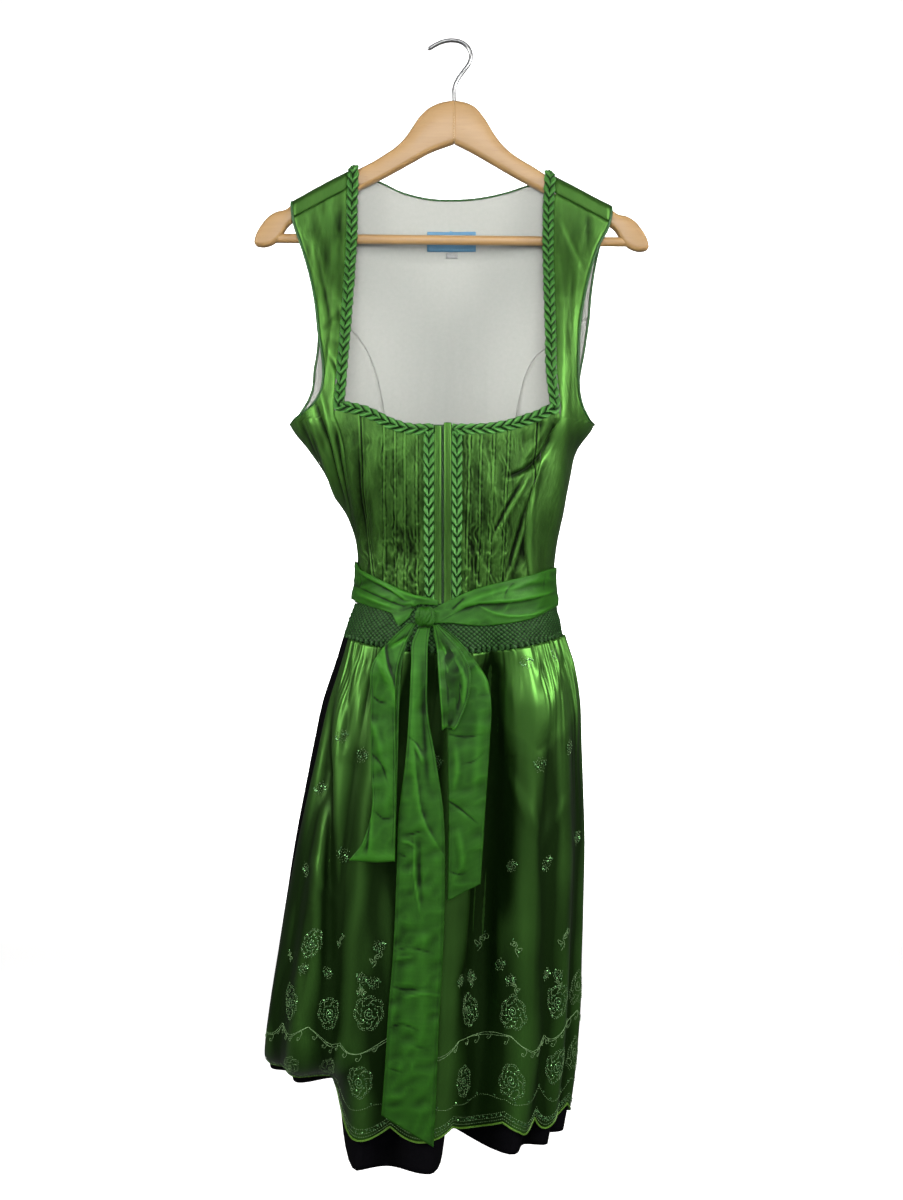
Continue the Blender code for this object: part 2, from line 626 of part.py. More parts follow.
def back_panel_blocks(outer, inner):
    """The centre back with its straps over the shoulders, as grids that share their edges."""
    (left_up, left_mid, left_low), (right_up, right_mid, right_low) = back_rows()
    left = np.concatenate([left_up, left_mid[1:], left_low])
    right = np.concatenate([right_up, right_mid[1:], right_low])
    strap_columns, neck_columns = 3, NECK_COLUMNS
    strap_left = (NECK_BACK[0][0], BACK_YOKE_DROP)
    strap_right = (NECK_BACK[-1][0], BACK_YOKE_DROP)
    top = np.concatenate([
        np.linspace((left[0, 0], BACK_YOKE_DROP), strap_left, strap_columns)[:-1],
        np.linspace(strap_left, strap_right, neck_columns)[:-1],
        np.linspace(strap_right, (right[0, 0], BACK_YOKE_DROP), strap_columns),
    ])
    columns = len(top)
    angle, drop = between(left, right, columns, front=False)
    top_angle = angle_of(top[:, 0], top[:, 1], False)
    spread = (top_angle - top_angle[0]) / (top_angle[-1] - top_angle[0])
    rows = len(left)
    ease = np.clip(np.arange(rows) / 4.0, 0, 1)[:, None]
    share = spread[None, :] * (1 - ease) + np.linspace(0, 1, columns)[None, :] * ease
    angle = angle[:, :1] * (1 - share) + angle[:, -1:] * share
    drop = drop[:, :1] * (1 - share) + drop[:, -1:] * share
    angle[0], drop[0] = top_angle, top[:, 1]
    blocks = [cloth_block(angle, drop, outer, inner)]
    for side in (-1, 1):
        near = top[:strap_columns] if side < 0 else top[-strap_columns:]
        rows = [near]
        for turn, tip_x, neck_x in STRAP_OVER[::-1]:
            ends = (tip_x, neck_x) if side < 0 else (neck_x, tip_x)
            x = np.linspace(ends[0], ends[1], strap_columns) * side
            roll = ROLL_RADIUS * (1 - math.cos(math.radians(turn)))
            rows.append(np.stack([x, crest(x) + roll], -1))
        seam_x = rows[-1][:, 0]
        rows.append(np.stack([seam_x, crest(seam_x) + SHOULDER_SEAM_DROP], -1))
        fronts = [False] + [turn <= 0 for turn, _, _ in STRAP_OVER[::-1]] + [True]
        strap_angle = np.array([angle_of(row[:, 0], row[:, 1], f) for row, f in zip(rows, fronts)])
        strap_drop = np.array([row[:, 1] for row in rows])
        blocks.append(cloth_block(strap_angle[::-1], strap_drop[::-1], outer, inner))
    neck = top[strap_columns - 1:strap_columns - 1 + neck_columns].copy()
    behind = STRAP_OVER[-1][2]
    neck_x = neck[:, 0].copy()
    neck_x[0], neck_x[-1] = -behind, behind
    neck_top = track(NECK_BACK, 1, neck_x)
    neck_top[[0, -1]] = crest(neck_x[[0, -1]]) + ROLL_RADIUS
    neck_angle = np.stack([angle_of(neck_x, neck_top, False), angle_of(neck[:, 0], neck[:, 1], False)])
    blocks.append(cloth_block(neck_angle, np.stack([neck_top, neck[:, 1]]), outer, inner))
    return blocks


def back_side_edge(side):
    """The lower back armhole, from the princess seam to the underarm."""
    return smooth_line(UNDERARM_BACK_LEFT if side < 0 else UNDERARM_BACK_RIGHT, BACK_ARMHOLE_ROWS)


def back_side_grid(side):
    """A side back: the lower armhole and side seam to the princess seam."""
    _, mid, lower = back_rows()[0 if side < 0 else 1]
    outer_up = back_side_edge(side)
    low = np.array(LOW_DROPS, float)
    centre, half, _, _ = girth_at(low)
    outer_low = np.stack([centre + side * half, low], -1)
    outer = np.concatenate([outer_up[:-1], outer_low])
    inner = np.concatenate([mid, lower])
    inner[0] = inner[0] * 0.75 + inner[1] * 0.25
    outer[0] = (outer[0] * 0.94 + inner[0] * 0.06)
    return between(inner, outer, 5, front=False)


def make_back(satin, lining):
    layers = (("back", satin, 0.0, -CLOTH), ("lining", lining, -LINING_AT, -LINING_AT - CLOTH))
    for prefix, material, outer, inner in layers:
        sew_wall(f"{prefix}_panel", back_panel_blocks(outer, inner), material)
        for label, side in (("left", -1), ("right", 1)):
            angle, drop = back_side_grid(side)
            sew_wall(f"{prefix}_side_{label}", [cloth_block(angle, drop, outer, inner)], material)


def make_labels():
    blue = finish("label_blue", (0.13, 0.38, 0.62, 1), 0.6)
    white = finish("tab_white", (0.8, 0.8, 0.78, 1), 0.6)
    for name, material, left, right, top, bottom in (
            ("label", blue, -28, 28, 209, 230.5), ("size_tab", white, -6.4, 7.4, 231.2, 238)):
        across = np.linspace(left, right, 4 if name == "label" else 2)
        down = np.linspace(top, bottom, 2)[:, None]
        angle = angle_of(across[None, :], down, False)
        block = cloth_block(angle, np.broadcast_to(down, angle.shape), -3.85, -4.75)
        sew_wall(name, [block], material, gap=0)


def piping_ring(name, place, normal, away, clearance, material, closed):
    """A round piping laid past an edge, with its section turned to the edge."""
    corners = [(PIPING_RADIUS * math.cos(a), PIPING_RADIUS * math.sin(a))
               for a in (math.radians(18 + 72 * k) for k in range(5))]
    swept(name, place + away * (PIPING_RADIUS + clearance), away, normal, corners, material, closed)


def make_piping(piping):
    edge = np.linspace(-STRAP_OVER[-1][2], STRAP_OVER[-1][2], NECK_COLUMNS)[1:-1]
    line = np.stack([edge, track(NECK_BACK, 1, edge)], -1)
    angle = angle_of(line[:, 0], line[:, 1], False)
    normal = outward(angle, line[:, 1])
    place = body(angle, line[:, 1]) - normal * (LINING_AT + CLOTH) / 2
    ahead = np.gradient(place, axis=0)
    away = np.cross(normal, ahead)
    away = away / np.linalg.norm(away, axis=-1, keepdims=True)
    away = away * np.sign(away[:, 2:].mean())
    piping_ring("neck_piping_back", place, normal, away, 0.4, piping, False)
    for label, side, clearance in (("left", -1, 1.15), ("right", 1, 0.85)):
        make_armhole_piping(label, side, clearance, piping)


def make_armhole_piping(label, side, clearance, piping):
    """The piping of one armhole on the panels' own edge points: front, shoulder and back."""
    _, front = front_side_edges(side)
    stops = [(x, drop, True, CLOTH / 2) for x, drop in front[11::-1]]
    for turn, tip_x, _ in STRAP_OVER:
        roll = ROLL_RADIUS * (1 - math.cos(math.radians(turn)))
        stops.append((tip_x * side, float(crest(np.array(tip_x * side))) + roll, turn < 0, CLOTH))
    upper, _, _ = back_rows()[0 if side < 0 else 1]
    behind = [*upper, *back_side_edge(side)[1:-1]]
    stops += [(x, drop, False, (LINING_AT + CLOTH) / 2) for x, drop in behind]
    places, normals = [], []
    for x, drop, ahead, depth in stops:
        angle = angle_of(x, drop, ahead)
        normals.append(outward(angle, drop))
        places.append(body(angle, drop) - normals[-1] * depth)
    places, normals = np.array(places), np.array(normals)
    ahead = np.roll(places, -1, 0) - np.roll(places, 1, 0)
    away = np.cross(normals, ahead)
    away = away / np.linalg.norm(away, axis=-1, keepdims=True)
    middle = places.mean(axis=0)
    towards = np.sign(np.sum(away * (middle - places), axis=-1).sum())
    name = f"armhole_piping_{label}"
    piping_ring(name, places, normals, away * towards, clearance, piping, True)


# ================= trims of the front =================
def ruche_profile(stations, half_width, rise):
    """The plaited ruche: two lobes and a groove that change places twice a pitch."""
    turn = np.arange(stations) % 2
    lobe = np.where(turn == 0, rise, rise * 0.62)
    groove = np.where(turn == 0, rise * 0.55, rise * 0.95)
    flat = np.zeros(stations)
    wide = np.where(turn == 0, half_width, half_width * 0.9)
    return np.stack([
        np.stack([-wide, flat], -1),
        np.stack([-wide * 0.55, lobe], -1),
        np.stack([flat, groove], -1),
        np.stack([wide * 0.55, lobe], -1),
        np.stack([wide, flat], -1),
    ], 1)


def make_ruche(name, line, half_width, rise, material):
    """A ruche along a line of x and drop on the front."""
    length = np.linalg.norm(np.diff(line, axis=0), axis=1).sum()
    stations = 2 * max(2, round(length / RUCHE_PITCH)) + 1
    line = smooth_line(line, stations)
    place, side, normal = along_body(line, True, -0.9)
    swept(name, place, side, normal, ruche_profile(stations, half_width, rise), material,
          smooth_angle=70)


def make_trims(trim_green):
    for label, side in (("left", -1), ("right", 1)):
        neck_side = NECK_SIDE_LEFT if side < 0 else NECK_SIDE_RIGHT
        strap = smooth_line(neck_side, 200)
        strap[:, 0] += side * (RUCHE_HALF_WIDTH + 0.1)
        strap = strap[strap[:, 1] > crest(strap[:, 0]) + 4]
        strap = strap[strap[:, 1] < neck_side[-1][1] - 1]
        make_ruche(f"trim_strap_{label}", strap, RUCHE_HALF_WIDTH, RUCHE_RISE, trim_green)
        neck = smooth_line(NECK_FRONT_LEFT if side < 0 else NECK_FRONT_RIGHT, 40)
        neck = moved_aside(neck, side * (RUCHE_HALF_WIDTH + 0.1))
        reach = NECK_CORNER_REACH[0 if side < 0 else 1]
        neck[:, 0] += side * reach * np.clip(1 - np.arange(40) / 12, 0, 1)
        stop = WELT_LEFT[1] if side < 0 else WELT_RIGHT[0]
        neck = neck[neck[:, 0] * side > (stop + side * 0.2) * side]
        make_ruche(f"trim_neck_{label}", neck, RUCHE_HALF_WIDTH - 0.3, RUCHE_RISE, trim_green)
        ruche_x = RUCHE_LEFT_X if side < 0 else RUCHE_RIGHT_X
        upright = np.stack([np.full(8, ruche_x), np.linspace(CLOSING_TOP, LOW_DROPS[-1], 8)], -1)
        make_ruche(f"trim_front_{label}", upright, FRONT_RUCHE_HALF_WIDTH, RUCHE_RISE - 0.6, trim_green)


def make_closing(satin, tape):
    down = np.linspace(CLOSING_TOP, LOW_DROPS[-1], 9)[:, None]
    for name, (left, right) in (("welt_left", WELT_LEFT), ("welt_right", WELT_RIGHT)):
        across = np.array([left, (left + right) / 2, right])[None, :]
        angle = angle_of(across, down)
        lift = np.array([0.2, 1.3, 0.2])[None, :] * np.ones_like(down)
        block = cloth_block(angle, np.broadcast_to(down, angle.shape), outer=lift)
        sew_wall(name, [block], satin, gap=0.15)
    across = np.array([-19.0, 1.0])[None, :]
    angle = angle_of(across, down)
    block = cloth_block(angle, np.broadcast_to(down, angle.shape), outer=-CLOTH - 0.6,
                        inner=-CLOTH - 1.7)
    sew_wall("zip_tape", [block], tape, gap=0)


# ================= skirt and apron =================
def fold_angles(first, last, drop, columns=FOLD_COLUMNS):
    """Angles of the grid columns in each row: the same number in every fold for all layers."""
    ridges = fold_ridges(drop)
    column = np.arange((last - first) * columns + 1)
    fold = np.minimum(first + column // columns, last - 1)
    share = (column - (fold - first) * columns) / columns
    return np.radians(ridges[..., fold] * (1 - share) + ridges[..., fold + 1] * share)


def make_skirt(black):
    rows = np.array(SKIRT_ROWS, float)
    middle = APRON_LAST_FOLD + 1
    for name, first, last, columns in (("skirt_front", 0, middle, FOLD_COLUMNS),
                                       ("skirt_back", middle, len(FOLDS), BACK_FOLD_COLUMNS)):
        angle = fold_angles(first, last, rows, columns)
        drop = np.broadcast_to(rows[:, None], angle.shape).copy()
        turn = np.degrees(angle[-1])
        rise = smooth_step((turn - 15) / 30) * (1 - smooth_step((turn - 110) / 50))
        drop[-1] -= RIGHT_HEM_RISE * rise
        sew_wall(name, [cloth_block(angle, drop, skirt_share=1.0)], black, gap=0.44)


def make_apron(satin):
    """The apron on the skirt's own points: gathers at the top, scallops at the hem."""
    rows = np.array([row for row in SKIRT_ROWS if 690 < row <= APRON_HEM], float)
    rows = np.concatenate([[BAND_HEM_FRONT - BAND_HEM_RISE / 2], rows])
    angle = fold_angles(APRON_FIRST_FOLD, APRON_LAST_FOLD, rows)
    drop = np.broadcast_to(rows[:, None], angle.shape).copy()
    column = np.arange(angle.shape[1])
    drop[0] = band_hem(angle[0]) + 0.5
    drop[-1] -= SCALLOP_RISE * (1 - np.abs(np.sin(np.pi * (column + 1) / 4)))
    gather = (1 - np.clip((rows - 690) / 150, 0, 1))[:, None] * np.where(column % 2, 2.6, 0.0)
    inner = np.full(angle.shape, APRON_OUT)
    inner[-1] += 1.4
    block = cloth_block(angle, drop, outer=inner + APRON_CLOTH + gather, inner=inner)
    sew_wall("apron", [block], satin, gap=0)


def band_hem(angle):
    """The lower edge of the waistband, lower in front than at the sides."""
    return BAND_HEM_FRONT - BAND_HEM_RISE * np.sin(angle) ** 2


def make_waistband(satin):
    """The smocked band: raised and sunk cells like a chequer over a plain inside."""
    angles = np.radians(np.linspace(-74, 104, 41))
    shares = np.linspace(0, 1, 7)[:, None]
    drop = BAND_TOP + (band_hem(angles)[None, :] - BAND_TOP) * shares
    angle = np.broadcast_to(angles[None, :], drop.shape)
    column, row = np.meshgrid(np.arange(len(angles)), np.arange(len(shares)))
    cell = np.where((column + row) % 2, 1.0, 0.0)
    sew_wall("apron_waistband", [cloth_block(angle, drop, outer=2.15 + cell, inner=1.05)], satin, gap=0)


# ================= sash and bow =================
SASH_OUT = (2.15, 4.35)   # inside of the sash over the bodice and over the waistband
SASH_CREASES = (0.0, 1.6, 0.3, 1.4, 0.0)  # rise of its outer face, row by row
# x, upper drop, lower drop
SASH_LEFT_ROWS = [(-200, 583, 630), (-109, 582, 628), (-99, 595, 633), (-87, 602, 637),
                  (-60, 615, 645), (-39.8, 624, 651), (-37, 625, 641), (-33, 625.6, 636.4),
                  (-26, 627, 635.8), (-19, 629, 636), (-12.6, 631, 636.8)]
SASH_LEFT_TONGUE = [-39.8, -37, -33, -26, -19, -12.6]   # its columns over the knot
SASH_RIGHT_ROWS = [(-16, 640, 656), (2, 629, 656), (21, 620, 658), (48, 612, 657), (84, 603, 651),
                   (112, 594, 638), (200, 588, 634)]


def make_sash(taffeta):
    for name, rows, start, end in (("sash_left", SASH_LEFT_ROWS, -90, -27),
                                   ("sash_right", SASH_RIGHT_ROWS, -11.4, 90)):
        angles = np.radians(np.linspace(start, end, 8 if name == "sash_left" else 12))
        centre, half, _, _ = girth_at(np.array(615.0))
        x = centre + half * np.sin(angles)
        if name == "sash_left":
            x = np.concatenate([x[:-1], SASH_LEFT_TONGUE])
        upper, lower = track(rows, 1, x), track(rows, 2, x)
        make_band(name, angle_of(x, 615.0), upper, lower, taffeta)
    angles = np.radians(np.linspace(90, 270, 13))
    turn = (1 - np.cos(angles - np.pi / 2)) / 2
    upper = 593 + (587 - 593) * turn
    make_band("sash_back", angles, upper, upper + 44, taffeta)


def make_band(name, angles, upper, lower, material):
    share = np.linspace(0, 1, len(SASH_CREASES))[:, None]
    drop = upper[None, :] * (1 - share) + lower[None, :] * share
    angle = np.broadcast_to(angles[None, :], drop.shape)
    over_band = smooth_step((drop - 612) / 16)
    inner = SASH_OUT[0] + (SASH_OUT[1] - SASH_OUT[0]) * over_band
    outer = inner + CLOTH + np.array(SASH_CREASES)[:, None]
    sew_wall(name, [cloth_block(angle, drop, outer=outer, inner=inner)], material)


# bow ribbons: left x, right x, drop, y of each row along the ribbon
LOOP_LEFT = [
    (-46, -37.2, 655.0, -98.5), (-58, -44, 666, -104), (-71, -50, 680, -112), (-82, -55, 696, -117),
    (-84, -58.5, 740, -118), (-84, -58, 800, -119), (-84, -58, 855, -119),
    (-96, -58.8, 888, -119), (-107, -59, 903, -117), (-106, -59, 903.5, -113),
    (-94, -58.5, 886, -110.5), (-82, -57.5, 850, -110), (-80, -56, 790, -110),
    (-79, -54.5, 735, -109.5), (-76, -52, 697, -107.5), (-62, -47, 676, -103), (-47, -40, 663.5, -95.5),
]
LOOP_RIGHT = [
    (-20, -14.5, 656.6, -99), (-17, -4, 668, -107), (-15, 10, 684, -117), (-14, 19, 702, -121.5),
    (-12.5, 19, 725, -122.5), (-10.5, 11, 750, -121.5), (-9.5, 3, 766, -119.5),
    (-9.5, 2, 767, -116.5), (-10.5, 9, 750, -115.2), (-12, 16, 725, -115),
    (-13.5, 16, 702, -114.5), (-15, 6, 684, -109), (-18, -6, 671, -100.5), (-20, -14, 664.5, -96),
]
TAIL_CENTRE = [
    (-35, -22.5, 659.7, -98), (-41, -24.5, 674, -104), (-45, -25, 700, -110), (-48, -25, 745, -112),
    (-51, -16, 800, -113), (-55, -8.5, 852, -113.5), (-57.5, -7, 920, -113.5),
    (-61, -9, 1000, -113), (-66, -12.5, 1060, -113), (-70, -16, 1132, -112.5),
    (-73.5, -19, 1181, -112),
]
TAIL_RIGHT = [
    (-21.5, -13, 656.8, -93.4), (-12, 2, 668, -93.4), (-6.5, 25, 694, -101.5), (-5, 38.5, 716, -106.5),
    (-4.5, 41.5, 738, -109), (-3.5, 40, 780, -109.5), (-3, 35, 855, -110), (-4, 30.5, 937, -109.5),
]


def make_ribbon(name, rows, stations, columns, wave, material, end_cut=(0.0, 0.0)):
    """A flat ribbon through its rows; the last row is cut to a slant."""
    line = smooth_line(rows, stations)
    left = np.stack([line[:, 0], line[:, 3], -line[:, 2]], -1)
    right = np.stack([line[:, 1], line[:, 3], -line[:, 2]], -1)
    left[-1, 2] -= end_cut[0]
    right[-1, 2] -= end_cut[1]
    share = np.linspace(0, 1, columns)[None, :, None]
    points = left[:, None] * (1 - share) + right[:, None] * share
    down_way = np.gradient(points, axis=0)
    across_way = np.gradient(points, axis=1)
    normals = np.cross(down_way, across_way)
    normals = normals / np.linalg.norm(normals, axis=-1, keepdims=True)
    bulge = np.sin(np.pi * np.linspace(0, 1, columns))[None, :] * wave
    bulge = bulge * np.clip(np.arange(stations) / 3.0, 0, 1)[:, None]
    points = points + normals * bulge[..., None]
    half = np.full(points.shape[:2], 0.55)
    sew_wall(name, [(points, normals, half, -half)], material, gap=0)


def make_bow(taffeta):
    make_ribbon("bow_loop_left", LOOP_LEFT, 23, 4, 1.0, taffeta)
    make_ribbon("bow_loop_right", LOOP_RIGHT, 20, 4, 0.8, taffeta)
    make_ribbon("tail_centre", TAIL_CENTRE, 17, 5, 1.4, taffeta, end_cut=(-11.0, 22.0))
    make_ribbon("tail_right", TAIL_RIGHT, 12, 4, 1.2, taffeta, end_cut=(9.0, -9.0))
    work = bmesh.new()
    bmesh.ops.create_uvsphere(work, u_segments=12, v_segments=7, radius=1.0)
    shape = Matrix.Diagonal((11.2 * MM, 8.0 * MM, 10.6 * MM, 1))
    bmesh.ops.transform(work, matrix=Matrix.Translation((-28 * MM, -97.7 * MM, -648.5 * MM)) @ shape,
                        verts=work.verts)
    mesh = bpy.data.meshes.new("bow_knot")
    work.to_mesh(mesh)
    work.free()
    mesh.shade_smooth()
    mesh.materials.append(taffeta)
    parts.objects.link(bpy.data.objects.new("bow_knot", mesh))


# ================= the whole dress =================
for item in list(bpy.data.objects):
    bpy.data.objects.remove(item)
bpy.context.scene.collection.children.link(parts)

satin_green = finish("satin_green", SATIN, 0.32)
make_hanger()
make_front_sides(satin_green)
make_front_panels(satin_green)
make_back(satin_green, finish("lining_white", OFF_WHITE, 0.7))
make_labels()
dark_green = finish("piping_green", (0.02, 0.09, 0.02, 1), 0.5)
make_piping(dark_green)
make_trims(finish("trim_green", (0.03, 0.13, 0.02, 1), 0.45))
make_closing(satin_green, dark_green)
make_skirt(finish("skirt_black", (0.008, 0.007, 0.01, 1), 0.8))
make_apron(finish("apron_green", (0.06, 0.19, 0.03, 1), 0.3))
make_waistband(finish("band_green", (0.05, 0.15, 0.03, 1), 0.45))
taffeta_green = finish("taffeta_green", TAFFETA, 0.6)
make_sash(taffeta_green)
make_bow(taffeta_green)
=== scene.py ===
import math

import bmesh
import bpy
import numpy as np
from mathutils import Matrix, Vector


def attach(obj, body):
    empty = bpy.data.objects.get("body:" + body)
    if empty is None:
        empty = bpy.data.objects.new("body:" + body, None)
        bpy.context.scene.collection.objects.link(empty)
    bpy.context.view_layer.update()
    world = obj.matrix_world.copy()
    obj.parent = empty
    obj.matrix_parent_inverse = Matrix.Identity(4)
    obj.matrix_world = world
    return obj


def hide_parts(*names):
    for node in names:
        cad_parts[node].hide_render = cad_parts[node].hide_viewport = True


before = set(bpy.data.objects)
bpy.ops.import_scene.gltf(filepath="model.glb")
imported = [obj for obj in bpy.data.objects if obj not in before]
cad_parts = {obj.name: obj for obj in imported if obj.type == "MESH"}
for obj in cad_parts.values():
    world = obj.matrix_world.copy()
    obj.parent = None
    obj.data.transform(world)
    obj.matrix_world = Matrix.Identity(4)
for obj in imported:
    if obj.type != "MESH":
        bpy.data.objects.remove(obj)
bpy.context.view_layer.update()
mm = 0.001

# the cut of the dress, in millimetres; drop is the distance down the cloth
dress = {
    # drop, left x, right x, depth in front, depth behind
    "girth": [(140, -190, 190, 14, 14), (180, -190, 190, 22, 18), (230, -190, 190, 34, 26),
              (290, -188, 186, 52, 36), (350, -186, 178, 70, 45), (400, -184, 168, 84, 52),
              (436, -181, 160, 92, 56), (461, -162, 143, 95, 58), (495, -140, 134, 96, 60),
              (530, -121, 127, 94, 60), (562, -109, 119, 89, 60), (598, -106, 115, 85, 61),
              (634, -109, 115, 83, 62), (664, -120, 121, 87, 68), (700, -131, 133, 92, 76),
              (740, -144, 141, 95, 84), (800, -157, 144, 98, 92), (900, -177, 148, 100, 102),
              (1000, -193, 146, 101, 112), (1105, -208, 142, 101, 118),
              (1170, -215, 136, 101, 120), (1250, -219, 122, 100, 122)],
    # x and drop where each shoulder line starts, and its slope
    "crestLeft": (-114.8, 145.0, 0.535), "crestRight": (113.5, 150.0, 0.528),
    "rollRadius": 10.8, "strapRun": 150.0, "shoulderSeam": 22.0, "yoke": 202.0,
    "waist": 634.0, "hem": 1237.0, "liningAt": 1.8, "cloth": 1.0,
    "leanFrom": 1102.0, "leanRadius": 50.0, "leanAngle": math.radians(66),
    # ridge at the waist and at the hem in degrees, valley depth at the hip and at the hem,
    # and how much deeper the skirt goes there than the apron
    "folds": [(-90, -98, 5, 16, 8), (-66, -80, 4, 11, 8), (-50, -50, 7, 21, 10),
              (-30, -24, 5, 13, 8), (3, 8, 20, 38, 82), (38, 41, 3, 8, 8), (58, 60, 4, 12, 8),
              (79, 82, 6, 17, 8), (103, 104, 8, 20, 8), (127, 128, 9, 24, 6),
              (151, 152, 7, 21, 6), (174, 175, 9, 25, 6), (198, 199, 8, 24, 6),
              (222, 222, 7, 22, 6), (246, 242, 6, 20, 6)],
}
seams = {
    "neckSideLeft": [(-104, 150), (-105, 182), (-105, 230), (-107, 290), (-109.5, 338), (-113, 390),
                     (-114.5, 416)],
    "neckSideRight": [(105, 152), (102.6, 182), (101.2, 230), (100.7, 290), (101.5, 340),
                      (102, 390), (105, 418)],
    "neckFrontLeft": [(-114.5, 416), (-100, 419.5), (-81, 427), (-67, 434.5), (-53, 440.5),
                      (-39, 442.7), (-12, 443)],
    "neckFrontRight": [(105, 418), (95, 425), (76, 432.6), (57.4, 438.8), (39, 441.8),
                       (24.8, 442.8), (-7, 443)],
    "princessLeft": [(-126.5, 432), (-118, 458), (-113, 500), (-107.5, 542), (-101, 586), (-94, 634)],
    "princessRight": [(116, 435), (103, 460), (93, 491), (82, 529), (79, 561), (82, 593), (88, 634)],
    "armFrontLeft": [(-178.2, 200), (-168, 230), (-158, 262), (-149.6, 299), (-144.5, 338),
                     (-140, 364), (-138.3, 388), (-142, 406), (-151, 419), (-164, 428), (-181.5, 434)],
    "armFrontRight": [(178.2, 204), (163, 234), (154, 261), (146, 293), (140, 329), (138.2, 363),
                      (138.4, 394), (141, 413), (147, 426), (153, 432.5), (160.5, 436)],
    "armBackLeft": [(-174.5, 202), (-165, 224), (-157, 254), (-151.5, 287), (-150, 306)],
    "armBackRight": [(175, 202), (166, 231), (161, 257), (157.5, 288), (156.5, 307)],
    "underarmLeft": [(-150.5, 310), (-153.5, 348), (-157, 368), (-158.5, 386), (-164, 402),
                     (-172, 416), (-181.5, 434)],
    "underarmRight": [(156, 311), (151.5, 344), (146.5, 373), (144.8, 391), (147.7, 408),
                      (153, 421), (160.5, 436)],
    "backLeft": [(-150, 306), (-128, 313), (-112, 323), (-103, 334), (-91, 359), (-84, 383),
                 (-79, 408), (-75, 434)],
    "backRight": [(156.5, 307), (131, 320), (109, 339.5), (97, 350), (87.6, 366), (80.5, 390),
                  (76, 412), (73, 434)],
    "neckBack": [(-112.5, 155), (-99, 153), (-85, 156), (-58, 168), (-28, 175), (2.7, 176.4),
                 (28, 175.2), (64, 168.5), (88, 161), (101, 158), (113, 160.5)],
    # degrees round the roll over the shoulder, half width of the armhole side and the neck side
    "strapOver": [(-90, 178.2, 115.8), (-60, 178.8, 115.8), (-30, 179, 115.8), (0, 179, 115.8),
                  (30, 178.6, 115), (60, 178, 113.6), (90, 177.4, 112.8)],
    "backWaist": 64.0, "underarm": 434.0, "bodiceHem": 633.5,
}
# what each pair is called: in a node's name, in a piece's name, and which way along x it lies
sides = (("left", "Left", -1), ("right", "Right", 1))


# numbers and curves
def ease(share):
    share = np.clip(share, 0, 1)
    return share * share * (3 - 2 * share)


def bump(distance, width):
    return np.exp(-(distance / width) ** 2)


def mix(first, last, share):
    return first * (1 - share) + last * share


def within(value, start, rise, end, fall):
    # eases up after start and down again after end
    return ease((value - start) / rise) * (1 - ease((value - end) / fall))


def alongRow(count):
    return np.linspace(0, 1, count)[None, :]


def alongColumn(count):
    return np.linspace(0, 1, count)[:, None]


def steps(points, axis=0):
    # distances between the neighbours of a line or a grid
    return np.linalg.norm(np.diff(points, axis=axis), axis=-1)


def unitWays(ways):
    return ways / np.maximum(np.linalg.norm(ways, axis=-1, keepdims=True), 1e-9)


def track(rows, column, at):
    # smooth value of one column of a table whose first column rises: cubic between its rows
    knots, values = [np.array([row[k] for row in rows], float) for k in (0, column)]
    slopes = np.gradient(values, knots)
    at = np.clip(np.asarray(at, float), knots[0], knots[-1])
    i = np.clip(np.searchsorted(knots, at, side="right") - 1, 0, len(knots) - 2)
    span = knots[i + 1] - knots[i]
    f = (at - knots[i]) / span
    return ((2 * f**3 - 3 * f**2 + 1) * values[i] + (f**3 - 2 * f**2 + f) * span * slopes[i]
            + (3 * f**2 - 2 * f**3) * values[i + 1] + (f**3 - f**2) * span * slopes[i + 1])


def smoothLine(points, count=None, at=None):
    # evenly spaced points on a smooth curve through given points
    points = np.array(points, float)
    reach = np.concatenate([[0], np.cumsum(steps(points))])
    shares = np.linspace(0, 1, count) if at is None else np.asarray(at, float)
    rows = [(reach[k], *points[k]) for k in range(len(points))]
    return np.stack([track(rows, k + 1, shares * reach[-1]) for k in range(points.shape[1])], -1)


def evenLine(points, normals, count):
    # points and normals spaced evenly along a line
    even = smoothLine(np.concatenate([points, normals], axis=1), count)
    return even[:, :3], even[:, 3:]


def softNoise(u, v, seed):
    # smooth value noise of two coordinates, -1 to 1: random lattice values, eased between
    table = np.random.default_rng(seed).uniform(-1, 1, (64, 64))
    u, v = np.broadcast_arrays(np.asarray(u, float), np.asarray(v, float))
    i, j = np.floor(u).astype(int), np.floor(v).astype(int)
    f, g = ease(u - i), ease(v - j)
    low, high = [mix(table[(i + a) % 64, j % 64], table[(i + a) % 64, (j + 1) % 64], g) for a in (0, 1)]
    return mix(low, high, f)


